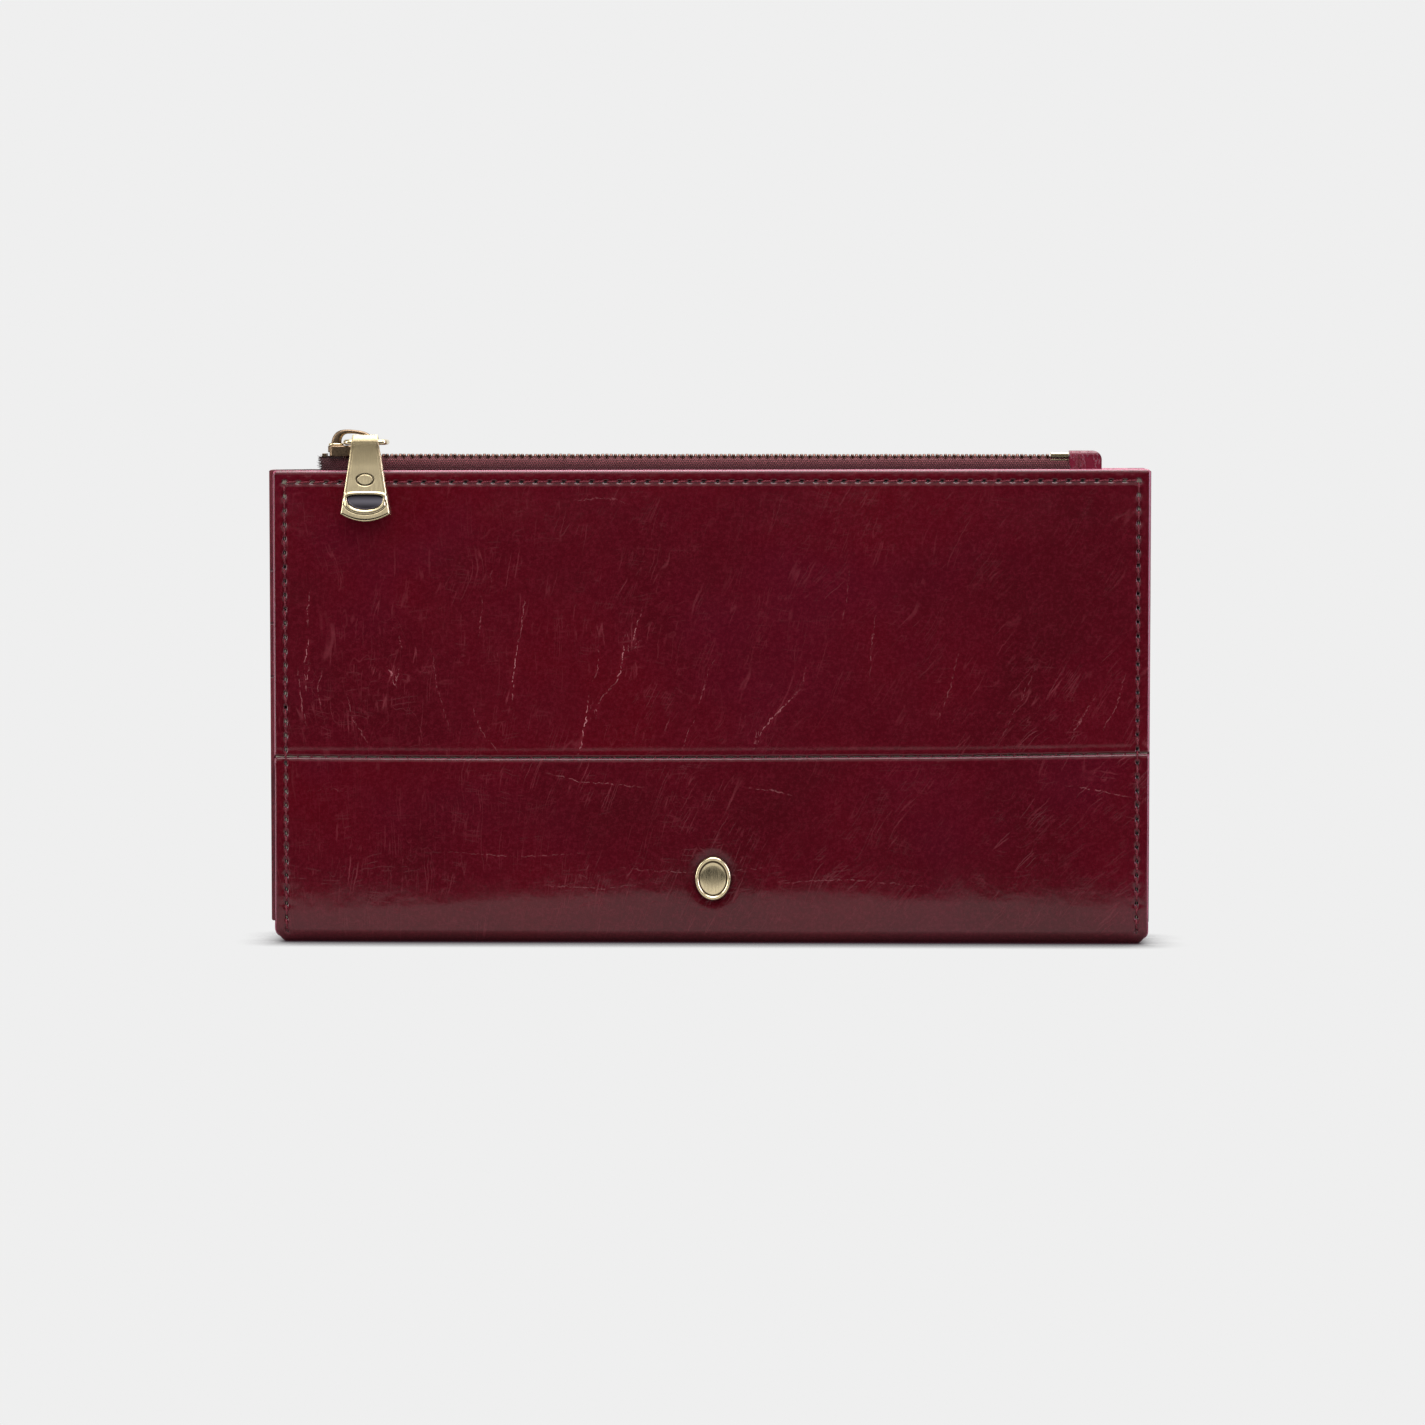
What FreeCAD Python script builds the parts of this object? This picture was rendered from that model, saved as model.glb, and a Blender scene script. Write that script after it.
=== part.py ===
import FreeCAD, Part
import math
import os

# Long bifold wallet with a zipped pocket in its front half.
# Units are millimetres, +Z is up, the front faces -Y.
# The origin is the centre of the flat underside of the folded spine.

V = FreeCAD.Vector

# ----------------------------------------------------------------- driving sizes
W = 196.85              # width of the front cover
H = 106.6               # height of the leather covers
T = 16.5                # thickness of the closed wallet
SEAM_Z = 42.2           # height of the cross seam between the two leathers
LEATHER = 1.2           # outer leather
BOARD = 0.6             # stiffening board
LINING = 0.3            # pocket lining
FOLD_R = 3.0            # outer bend radius of the folded bottom edge
HINGE_GAP = 0.2         # open score line between the spine lip and the rear cover

YF = -T / 2             # outer face of the front cover
YB = T / 2              # outer face of the rear cover
XW = W / 2

POCKET_DEPTH = 4.7      # clear depth of the zipped pocket
WALL = 1.0              # leather of the wall behind the pocket
WALL_BOTTOM = 4.6       # lower edge of that wall
WALL_LEFT = 99.3        # the wall stands a little proud of the cover on the left
WALL_RIGHT = 98.6
GUSSET_IN = 8.6         # how far the slanted side of the wall runs inwards
GUSSET_UP = 9.0

SLOT_T = 0.5            # one card slot layer
SLOT_X = 84.0
SLOT_MOUTHS = (86.0, 74.0, 62.0)

SNAP_X, SNAP_Z = 70.0, 96.5

BADGE_X, BADGE_Z = 0.56, 14.8
BADGE_W, BADGE_H, BADGE_T = 8.1, 9.9, 1.1

STITCH = 3.15           # stitch pitch
STITCH_X, STITCH_TOP = 95.75, 104.2

# zip fastener
ZY = -3.8               # centre plane of the chain
TAPE_T = 0.4
TAPE_Z0, TAPE_Z = 102.6, 109.0
TAPE_X0, TAPE_X1 = -87.7, 80.2
BEAD_R, BEAD_Y, BEAD_Z = 0.45, 0.9, 109.2
TOOTH_PITCH, TOOTH_W = 1.9, 0.9
TOOTH_X0, TOOTH_N = -82.3, 84
TOOTH_OUT, TOOTH_IN = 1.65, 0.45
TOOTH_Z0, TOOTH_Z1 = 108.3, 110.15

# slider, its bridge, the wire link and the pull
SL_X0, SL_X1 = -86.0, -75.6
SL_TOP0, SL_TOP1 = 110.5, 112.0
SL_HALF0, SL_HALF1 = 3.3, 2.9
WIRE_R = 0.6
LINK_X0, LINK_X1 = -81.8, -73.0
LINK_Y0, LINK_Y1 = -8.8, -2.1
LINK_Z = 112.75
PULL_X = -77.3
PULL_EYE_R, PULL_BORE_R = 1.7, 0.66
PULL_TILT = 5.0
PULL_T = 1.5
PULL_LEN = 17.75
PULL_TOP_W, PULL_LOW_W = 5.5, 11.0

# ----------------------------------------------------------------- levels in depth
Y_LEA = YF + LEATHER                    # -7.05
Y_BRD = Y_LEA + BOARD                   # -6.45
Y_LIN = Y_BRD + LINING                  # -6.15
Y_POCK = Y_LIN + POCKET_DEPTH           # -1.45
Y_RLIN = Y_POCK + LINING                # -1.15
Y_WALL = Y_RLIN + WALL                  # -0.15
YB_LEA = YB - LEATHER                   # 7.05
YB_BRD = YB_LEA - BOARD                 # 6.45
YB_LIN = YB_BRD - LINING                # 6.15
YB_PAN = YB_LIN - 0.8                   # 5.35


# ----------------------------------------------------------------- helpers
def box(x0, x1, y0, y1, z0, z1):
    return Part.makeBox(x1 - x0, y1 - y0, z1 - z0, V(x0, y0, z0))


def face_of(points):
    return Part.Face(Part.makePolygon([V(*p) for p in points] + [V(*points[0])]))


def prism_yz(points, x0, x1):
    return face_of([(x0, y, z) for y, z in points]).extrude(V(x1 - x0, 0, 0))


def prism_xz(points, y0, y1):
    return face_of([(x, y0, z) for x, z in points]).extrude(V(0, y1 - y0, 0))


def prism_xy(points, z0, z1):
    return face_of([(x, y, z0) for x, y in points]).extrude(V(0, 0, z1 - z0))


def plate(x0, x1, z0, z1, y0, y1, r_low, r_top):
    """Plate in the XZ plane with rounded lower and upper corners."""
    edges = []

    def arc(cx, cz, r, a0):
        pts = []
        for a in (a0, a0 + 45, a0 + 90):
            t = math.radians(a)
            pts.append(V(cx + r * math.cos(t), y0, cz + r * math.sin(t)))
        return pts

    corners = [
        (x0 + r_low, z0 + r_low, r_low, 180),
        (x1 - r_low, z0 + r_low, r_low, 270),
        (x1 - r_top, z1 - r_top, r_top, 0),
        (x0 + r_top, z1 - r_top, r_top, 90),
    ]
    last = None
    first = None
    for cx, cz, r, a0 in corners:
        if r > 0:
            a, m, b = arc(cx, cz, r, a0)
        else:
            a = b = V(cx, y0, cz)
        if last is not None and (a - last).Length > 1e-6:
            edges.append(Part.LineSegment(last, a).toShape())
        if r > 0:
            edges.append(Part.Arc(a, m, b).toShape())
        if first is None:
            first = a
        last = b
    if (first - last).Length > 1e-6:
        edges.append(Part.LineSegment(last, first).toShape())
    return Part.Face(Part.Wire(edges)).extrude(V(0, y1 - y0, 0))


def cyl_y(x, z, r, y0, y1):
    return Part.makeCylinder(r, y1 - y0, V(x, y0, z), V(0, 1, 0))


def half_round(r, length, along, side):
    """Half-round bar centred on the origin, flat side on the plane y = 0."""
    s = Part.makeCylinder(r, length, V(0, 0, 0), V(0, 0, 1), 180)
    s.translate(V(0, 0, -length / 2))
    if side < 0:
        s.rotate(V(0, 0, 0), V(0, 0, 1), 180)
    if along == "x":
        s.rotate(V(0, 0, 0), V(0, 1, 0), 90)
    return s


def copies(shape, places):
    out = []
    for p in places:
        c = shape.copy()
        c.translate(V(*p))
        out.append(c)
    return Part.makeCompound(out)


nodes = {}

# ----------------------------------------------------------------- front cover
nodes["front_upper_leather"] = plate(-XW, XW, SEAM_Z, H, YF, Y_LEA, 0, 1.0)

# Lower leather: front panel, bend, flat underside, bend, short rear lip.
r_o, r_i = FOLD_R, FOLD_R - LEATHER
yc0, yc1, zc = YF + r_o, YB - r_o, r_o
c45 = math.cos(math.radians(45))


def bend_edge(p, q, r):
    """Quarter bend from p to q about the centre level with both."""
    cy = yc0 if (p[0] < 0) else yc1
    sy = -1 if (p[0] < 0) else 1
    m = (cy + sy * r * c45, zc - r * c45)
    return Part.Arc(V(0, p[0], p[1]), V(0, m[0], m[1]), V(0, q[0], q[1])).toShape()


def line_edge(p, q):
    return Part.LineSegment(V(0, p[0], p[1]), V(0, q[0], q[1])).toShape()


prof = [
    line_edge((YF, SEAM_Z), (YF, zc)),
    bend_edge((YF, zc), (yc0, 0), r_o),
    line_edge((yc0, 0), (yc1, 0)),
    bend_edge((yc1 + r_o, zc), (yc1, 0), r_o),
    line_edge((YB, zc), (YB_LEA, zc)),
    bend_edge((YB_LEA, zc), (yc1, LEATHER), r_i),
    line_edge((yc1, LEATHER), (yc0, LEATHER)),
    bend_edge((Y_LEA, zc), (yc0, LEATHER), r_i),
    line_edge((Y_LEA, zc), (Y_LEA, SEAM_Z)),
    line_edge((Y_LEA, SEAM_Z), (YF, SEAM_Z)),
]
wrap = Part.Face(Part.Wire(Part.__sortEdges__(prof))).extrude(V(2 * XW, 0, 0))
wrap.translate(V(-XW, 0, 0))
outline = plate(-XW, XW, 0, SEAM_Z, YF - 1, YB + 1, 3.0, 0)
wrap = wrap.common(outline)
prong_z = (BADGE_Z - 2.8, BADGE_Z + 2.8)
for z in prong_z:
    wrap = wrap.cut(cyl_y(BADGE_X, z, 0.56, YF - 1, Y_LEA + 0.2))
nodes["lower_leather_wrap"] = wrap

board = plate(-98.0, 98.0, FOLD_R + 0.2, H - 0.3, Y_LEA, Y_BRD, 0.5, 0.8)
for z in prong_z:
    board = board.cut(cyl_y(BADGE_X, z, 0.56, Y_LEA - 1, Y_BRD + 1))
board = board.cut(cyl_y(BADGE_X, BADGE_Z, 4.0, Y_BRD - 0.4, Y_BRD + 1))
nodes["front_board"] = board
nodes["front_pocket_lining"] = plate(-98.0, 98.0, 4.0, H - 0.4, Y_BRD, Y_LIN, 0.5, 0.8)
nodes["spine_lining"] = box(-94.5, 94.5, yc0, yc1, LEATHER, LEATHER + 0.8)


# Wall behind the zipped pocket: a shallow pan whose slanted sides and bottom
# run forward to the front cover, open at the top.
def pan(shift):
    plan = prism_xy(
        [
            (-WALL_LEFT, Y_LIN), (WALL_RIGHT, Y_LIN),
            (WALL_RIGHT - GUSSET_IN, Y_WALL), (-WALL_LEFT + GUSSET_IN, Y_WALL),
        ],
        0, H,
    )
    side = prism_yz(
        [(Y_LIN, WALL_BOTTOM), (Y_WALL, WALL_BOTTOM + GUSSET_UP), (Y_WALL, H), (Y_LIN, H)],
        -110, 110,
    )
    s = plan.common(side)
    s.translate(V(0, shift, 0))
    return s


front_of = box(-150, 150, -60, Y_LIN, -10, 150)
wall = pan(0.0).cut(pan(-WALL))
lin = pan(-WALL).cut(pan(-WALL - LINING)).cut(front_of)
for sx in (-1, 1):
    hole = cyl_y(sx * SNAP_X, SNAP_Z, 1.05, -4, 2)
    wall = wall.cut(hole)
    lin = lin.cut(hole)
nodes["middle_wall_leather"] = wall
nodes["rear_pocket_lining"] = lin

# Card slots on the rear of that wall, each layer lower than the one beneath it.
for i, name in enumerate(("upper", "middle", "lower")):
    y = Y_WALL + i * SLOT_T
    nodes["mid_card_slot_" + name] = plate(
        -SLOT_X, SLOT_X, 17.0, SLOT_MOUTHS[i], y, y + SLOT_T, 1.0, 1.0
    )
Y_MIDFACE = Y_WALL + 3 * SLOT_T
st = half_round(0.28, 2.3, "z", 1)
nodes["mid_card_divider_thread"] = copies(
    st, [(0, Y_MIDFACE, 19.5 + STITCH * k) for k in range(13)]
)

# Snap studs: rivet shank through the wall, flange and post on the rear side.
studs, heads = [], []
for sx in (-1, 1):
    x = sx * SNAP_X
    s = cyl_y(x, SNAP_Z, 4.8, Y_WALL, Y_WALL + 0.8)
    s = s.fuse(cyl_y(x, SNAP_Z, 2.1, Y_WALL + 0.8, Y_WALL + 4.0))
    s = s.fuse(cyl_y(x, SNAP_Z, 2.3, Y_WALL + 3.3, Y_WALL + 4.4))
    s = s.fuse(cyl_y(x, SNAP_Z, 1.0, Y_POCK, Y_WALL))
    studs.append(s.removeSplitter())
    h = cyl_y(x, SNAP_Z, 3.6, Y_POCK - 0.55, Y_POCK)
    h = h.makeFillet(0.35, [e for e in h.Edges if abs(e.BoundBox.YMin - (Y_POCK - 0.55)) < 1e-6 and abs(e.BoundBox.YMax - (Y_POCK - 0.55)) < 1e-6])
    heads.append(h)
nodes["snap_studs"] = Part.makeCompound(studs)
nodes["snap_stud_rivets"] = Part.makeCompound(heads)

# ----------------------------------------------------------------- threads
front_z = half_round(0.4, 2.45, "z", -1)
front_x = half_round(0.4, 2.45, "x", -1)


def perimeter(vert, horiz, y, z_low):
    parts = []
    n = int((STITCH_TOP - z_low) / STITCH)
    for sx in (-1, 1):
        for k in range(n):
            c = vert.copy()
            c.translate(V(sx * STITCH_X, y, STITCH_TOP - (k + 0.5) * STITCH))
            parts.append(c)
    m = 61
    p = 2 * STITCH_X / m
    for k in range(m):
        c = horiz.copy()
        c.translate(V(-STITCH_X + (k + 0.5) * p, y, STITCH_TOP))
        parts.append(c)
    return Part.makeCompound(parts)


nodes["front_perimeter_thread"] = perimeter(front_z, front_x, YF, 3.4)
tick = half_round(0.2, 0.9, "z", -1)
nodes["front_seam_thread"] = copies(
    tick, [(-93.0 + 3.1 * k, YF, SEAM_Z) for k in range(61)]
)

# ----------------------------------------------------------------- badge
def oval(w, h, y0, y1, x=BADGE_X, z=BADGE_Z):
    e = Part.Ellipse(V(x, y0, z), h / 2, w / 2)
    e = Part.Ellipse(V(x, y0, z + h / 2), V(x + w / 2, y0, z), V(x, y0, z))
    return Part.Face(Part.Wire(e.toShape())).extrude(V(0, y1 - y0, 0))


badge = oval(BADGE_W, BADGE_H, YF - 0.75, YF)
rim = oval(BADGE_W - 0.3, BADGE_H - 0.3, YF - BADGE_T, YF - 0.75)
rim = rim.cut(oval(BADGE_W - 1.7, BADGE_H - 1.7, YF - BADGE_T - 1, YF))
boss = oval(BADGE_W - 2.6, BADGE_H - 2.6, YF - 0.95, YF - 0.75)
badge = badge.fuse(rim).fuse(boss)
for z in prong_z:
    badge = badge.fuse(cyl_y(BADGE_X, z, 0.5, YF, Y_BRD - 0.4))
nodes["badge"] = badge.removeSplitter()
nodes["badge_backing"] = cyl_y(BADGE_X, BADGE_Z, 3.9, Y_BRD - 0.4, Y_BRD)

# ----------------------------------------------------------------- zip fastener
def tape(side):
    """side -1 is the front tape, +1 the rear tape."""
    if side < 0:
        yv0, yv1 = Y_LIN, Y_LIN + TAPE_T
        h = box(TAPE_X0, TAPE_X1, yv0, ZY - BEAD_Y, TAPE_Z, TAPE_Z + TAPE_T)
    else:
        yv0, yv1 = Y_POCK - TAPE_T, Y_POCK
        h = box(TAPE_X0, TAPE_X1, ZY + BEAD_Y, yv1, TAPE_Z, TAPE_Z + TAPE_T)
    v = box(TAPE_X0, TAPE_X1, yv0, yv1, TAPE_Z0, TAPE_Z + 0.2)
    b = Part.makeCylinder(
        BEAD_R, TAPE_X1 - TAPE_X0, V(TAPE_X0, ZY + side * BEAD_Y, BEAD_Z), V(1, 0, 0)
    )
    return v.fuse(h).fuse(b).removeSplitter()


nodes["zip_tape_front"] = tape(-1)
nodes["zip_tape_rear"] = tape(1)


def clamp(x0, x1, out, inn, z0, z1):
    """Metal jaw closed round the beaded edge of the front tape."""
    s = box(x0, x1, ZY - out, ZY + inn, z0, z1)
    s = s.cut(
        Part.makeCylinder(BEAD_R + 0.03, x1 - x0 + 2, V(x0 - 1, ZY - BEAD_Y, BEAD_Z), V(1, 0, 0))
    )
    s = s.cut(box(x0 - 1, x1 + 1, ZY - out - 1, ZY - BEAD_Y, TAPE_Z - 0.04, TAPE_Z + TAPE_T + 0.04))
    return s


def mirrored(shape):
    m = shape.mirror(V(0, ZY, 0), V(0, 1, 0))
    return m


tooth = clamp(-TOOTH_W / 2, TOOTH_W / 2, TOOTH_OUT, TOOTH_IN, TOOTH_Z0, TOOTH_Z1)
tooth_r = mirrored(tooth)
nodes["zip_teeth_front"] = copies(
    tooth, [(TOOTH_X0 + TOOTH_PITCH * k, 0, 0) for k in range(TOOTH_N)]
)
nodes["zip_teeth_rear"] = copies(
    tooth_r, [(TOOTH_X0 + TOOTH_PITCH * (k + 0.5), 0, 0) for k in range(TOOTH_N - 1)]
)
stop = clamp(-87.4, -86.35, 1.7, -0.1, 108.2, 110.2)
nodes["zip_top_stops"] = Part.makeCompound([stop, mirrored(stop)])

bs = box(76.1, 80.1, ZY - 1.9, ZY + 1.9, 108.2, 110.5)
bs = bs.makeFillet(0.4, [e for e in bs.Edges if e.BoundBox.ZMin > 110.4])
for side in (-1, 1):
    bs = bs.cut(Part.makeCylinder(BEAD_R + 0.03, 10, V(72, ZY + side * BEAD_Y, BEAD_Z), V(1, 0, 0)))
bs = bs.cut(box(72, 84, ZY - 4, ZY - BEAD_Y, TAPE_Z - 0.04, TAPE_Z + TAPE_T + 0.04))
bs = bs.cut(box(72, 84, ZY + BEAD_Y, ZY + 4, TAPE_Z - 0.04, TAPE_Z + TAPE_T + 0.04))
nodes["zip_bottom_stop"] = bs

# Leather tab folded over the sewn end of the fastener.
ty0, ty1 = Y_LIN + 0.05, Y_POCK - 0.05
tab = box(80.3, 87.5, ty0, ty1, 100.5, 110.9)
tab = tab.makeFillet(0.9, [e for e in tab.Edges if e.BoundBox.ZMin > 110.8 and e.BoundBox.XLength > 5])
tab = tab.cut(box(79.0, 86.5, ty0 + 1.0, ty1 - 1.0, 100.0, 109.9))
tab = tab.common(plate(70.0, 87.5, 90.0, 110.9, -20, 20, 0, 2.0))
nodes["zip_end_tab"] = tab
nodes["zip_end_tab_thread"] = copies(
    half_round(0.25, 1.5, "z", -1), [(82.5, ty0, 107.6), (82.5, ty0, 109.2 - 0.05)]
)

# ----------------------------------------------------------------- slider
def slider_plan(grow, z0, z1, x0=SL_X0, x1=SL_X1):
    a, b = SL_HALF0 + grow, SL_HALF1 + grow
    pts = [
        (x0, -a + 0.9), (x0 + 0.9, -a), (x0 + 4.2, -a), (x1 - 1.2, -b), (x1, -b + 1.2),
        (x1, b - 1.2), (x1 - 1.2, b), (x0 + 4.2, a), (x0 + 0.9, a), (x0, a - 0.9),
    ]
    return prism_xy([(x, ZY + y) for x, y in pts], z0, z1)


top = slider_plan(0.0, SL_TOP0 - 0.9, SL_TOP1)
inner = slider_plan(-0.6, SL_TOP0 - 2, SL_TOP0, SL_X0 - 1.5, SL_X1 + 1.5)
top = top.cut(inner)
edge = [
    e for e in top.Edges
    if abs(e.BoundBox.ZMin - SL_TOP1) < 1e-6 and abs(e.BoundBox.ZMax - SL_TOP1) < 1e-6
]
top = top.makeFillet(0.35, edge)
low = prism_xy(
    [
        (SL_X0 + 0.3, ZY - 1.0), (SL_X0 + 1.0, ZY - 1.65), (SL_X1 - 1.0, ZY - 1.65),
        (SL_X1 - 0.2, ZY - 1.0), (SL_X1 - 0.2, ZY + 1.0), (SL_X1 - 1.0, ZY + 1.65),
        (SL_X0 + 1.0, ZY + 1.65), (SL_X0 + 0.3, ZY + 1.0),
    ],
    107.0, 108.1,
)
post = prism_xy(
    [
        (-85.3, ZY), (-84.9, ZY - 0.4), (-83.7, ZY - 0.4), (-83.3, ZY),
        (-83.7, ZY + 0.4), (-84.9, ZY + 0.4),
    ],
    108.0, 110.6,
)
nodes["slider_body"] = top.fuse(low).fuse(post).removeSplitter()

# Bridge: an arch standing on the top plate, with a window for the link.
def spline_edge(points, y):
    c = Part.BSplineCurve()
    c.interpolate([V(x, y, z) for x, z in points])
    return c.toShape()


by0, by1 = ZY - 0.95, ZY + 0.95
outer_l = [(-85.5, 112.0), (-85.35, 113.4), (-84.6, 114.9), (-83.0, 115.6)]
outer_t = [(-83.0, 115.6), (-80.0, 115.45), (-77.6, 115.0)]
outer_r = [(-77.6, 115.0), (-76.5, 114.3), (-76.0, 113.2), (-76.0, 112.0)]
inner_r = [(-77.3, 112.0), (-77.3, 113.4), (-77.6, 114.1), (-78.3, 114.35)]
inner_t = [(-78.3, 114.35), (-80.2, 114.62), (-81.9, 114.66)]
inner_l = [(-81.9, 114.66), (-82.8, 114.2), (-83.15, 113.4), (-83.2, 112.0)]


def chain_edges(*runs):
    out = []
    for r in runs:
        out.append(spline_edge(r, by0))
    return out


edges = chain_edges(outer_l, outer_t, outer_r)
edges.append(Part.LineSegment(V(-76.0, by0, 112.0), V(-77.3, by0, 112.0)).toShape())
edges += chain_edges(inner_r, inner_t, inner_l)
edges.append(Part.LineSegment(V(-83.2, by0, 112.0), V(-85.5, by0, 112.0)).toShape())
nodes["slider_bridge"] = Part.Face(Part.Wire(edges)).extrude(V(0, by1 - by0, 0))

# Wire link: closed rounded rectangle lying forward over the slider.
rc = 1.3
pieces = []
x0, x1, y0, y1 = LINK_X0, LINK_X1, LINK_Y0, LINK_Y1
pieces.append(Part.makeCylinder(WIRE_R, x1 - x0 - 2 * rc, V(x0 + rc, y0, LINK_Z), V(1, 0, 0)))
pieces.append(Part.makeCylinder(WIRE_R, x1 - x0 - 2 * rc, V(x0 + rc, y1, LINK_Z), V(1, 0, 0)))
pieces.append(Part.makeCylinder(WIRE_R, y1 - y0 - 2 * rc, V(x0, y0 + rc, LINK_Z), V(0, 1, 0)))
pieces.append(Part.makeCylinder(WIRE_R, y1 - y0 - 2 * rc, V(x1, y0 + rc, LINK_Z), V(0, 1, 0)))
for cx, cy, a in ((x0 + rc, y0 + rc, 180), (x1 - rc, y0 + rc, 270), (x1 - rc, y1 - rc, 0), (x0 + rc, y1 - rc, 90)):
    t = Part.makeTorus(rc, WIRE_R, V(0, 0, 0), V(0, 0, 1), -180, 180, 90)
    t.rotate(V(0, 0, 0), V(0, 0, 1), a)
    t.translate(V(cx, cy, LINK_Z))
    pieces.append(t)
link = pieces[0]
for p in pieces[1:]:
    link = link.fuse(p)
nodes["pull_link"] = link.removeSplitter()

# Pull: rolled eye at the top, plate widening downwards, recessed window.
# Built hanging straight down from the bar at the local origin, then tilted.
hw0, hw1 = PULL_TOP_W / 2, PULL_LOW_W / 2
corner_z = -(PULL_LEN - 1.7)
e1 = Part.LineSegment(V(-hw0, 0, 0.0), V(-hw1, 0, corner_z)).toShape()
e2 = Part.Arc(V(-hw1, 0, corner_z), V(0, 0, -PULL_LEN), V(hw1, 0, corner_z)).toShape()
e3 = Part.LineSegment(V(hw1, 0, corner_z), V(hw0, 0, 0.0)).toShape()
e4 = Part.LineSegment(V(hw0, 0, 0.0), V(-hw0, 0, 0.0)).toShape()
body = Part.Face(Part.Wire([e1, e2, e3, e4])).extrude(V(0, 4.0, 0))
body.translate(V(0, -2.0, 0))
eye = Part.makeCylinder(PULL_EYE_R, PULL_TOP_W, V(-hw0, 0, 0), V(1, 0, 0))
side = prism_yz(
    [
        (-1.68, 0.0), (-1.36, -1.6), (-0.94, -3.6), (-PULL_T / 2, -5.6), (-PULL_T / 2, -20),
        (PULL_T / 2, -20), (PULL_T / 2, -3.6), (1.55, -0.9), (0, 0),
    ],
    -20, 20,
)
pull = body.common(side).fuse(eye)
pull = pull.cut(Part.makeCylinder(PULL_BORE_R, 20, V(-10, 0, 0), V(1, 0, 0)))
zt, zb = -(PULL_LEN - 6.15), -(PULL_LEN - 2.6)
w1 = Part.LineSegment(V(-3.4, -2, zt), V(3.4, -2, zt)).toShape()
w2 = Part.Arc(V(3.4, -2, zt), V(4.05, -2, zt - 0.55), V(3.9, -2, zt - 1.25)).toShape()
w3 = Part.Arc(V(3.9, -2, zt - 1.25), V(0, -2, zb), V(-3.9, -2, zt - 1.25)).toShape()
w4 = Part.Arc(V(-3.9, -2, zt - 1.25), V(-4.05, -2, zt - 0.55), V(-3.4, -2, zt)).toShape()
win = Part.Face(Part.Wire([w1, w2, w3, w4])).extrude(V(0, 2 + PULL_T / 2 - 0.6, 0))
pull = pull.cut(win)
pull = pull.removeSplitter()
pull.rotate(V(0, 0, 0), V(1, 0, 0), -PULL_TILT)
pull.translate(V(PULL_X, LINK_Y0, LINK_Z))
nodes["zip_pull"] = pull

# ----------------------------------------------------------------- rear cover
zb0 = FOLD_R + HINGE_GAP
nodes["back_upper_leather"] = plate(-XW, XW, SEAM_Z, H, YB_LEA, YB, 0, 1.0)
nodes["back_lower_leather"] = plate(-XW, XW, zb0, SEAM_Z, YB_LEA, YB, 0, 0)
nodes["back_board"] = plate(-98.0, 98.0, zb0 + 0.2, H - 0.3, YB_BRD, YB_LEA, 0.5, 0.8)
nodes["back_lining"] = plate(-98.0, 98.0, zb0 + 0.6, H - 0.4, YB_LIN, YB_BRD, 0.5, 0.8)
nodes["back_card_panel"] = plate(-97.0, 97.0, 6.0, 103.0, YB_PAN, YB_LIN, 1.5, 1.5)
for i, name in enumerate(("upper", "middle", "lower")):
    y = YB_PAN - i * SLOT_T
    nodes["back_card_slot_" + name] = plate(
        -SLOT_X, SLOT_X, 12.0, SLOT_MOUTHS[i], y - SLOT_T, y, 1.0, 1.0
    )
Y_BACKFACE = YB_PAN - 3 * SLOT_T
st = half_round(0.28, 2.3, "z", -1)
nodes["back_card_divider_thread"] = copies(
    st, [(0, Y_BACKFACE, 14.5 + STITCH * k) for k in range(15)]
)
socks = []
for sx in (-1, 1):
    x = sx * SNAP_X
    s = cyl_y(x, SNAP_Z, 4.8, YB_PAN - 0.6, YB_PAN)
    s = s.fuse(cyl_y(x, SNAP_Z, 3.6, YB_PAN - 2.6, YB_PAN - 0.6))
    s = s.cut(cyl_y(x, SNAP_Z, 2.5, YB_PAN - 3.0, YB_PAN - 0.45))
    socks.append(s.removeSplitter())
nodes["snap_sockets"] = Part.makeCompound(socks)
back_z = half_round(0.4, 2.45, "z", 1)
back_x = half_round(0.4, 2.45, "x", 1)
nodes["back_perimeter_thread"] = perimeter(back_z, back_x, YB, 6.0)
nodes["back_seam_thread"] = copies(
    half_round(0.2, 0.9, "z", 1), [(-93.0 + 3.1 * k, YB, SEAM_Z) for k in range(61)]
)

# ----------------------------------------------------------------- export
os.makedirs("parts", exist_ok=True)
for name, shape in nodes.items():
    bad = [s for s in shape.Solids if not s.isValid() or s.Volume <= 0]
    if bad or not shape.Solids:
        raise SystemExit("bad solid in " + name)
    shape.exportStep("parts/" + name + ".step")
    b = shape.BoundBox
    print(
        "%-26s solids %3d  vol %9.1f  x %7.2f %7.2f  y %6.2f %6.2f  z %6.2f %6.2f"
        % (name, len(shape.Solids), shape.Volume, b.XMin, b.XMax, b.YMin, b.YMax, b.ZMin, b.ZMax)
    )
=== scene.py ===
import math

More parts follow.
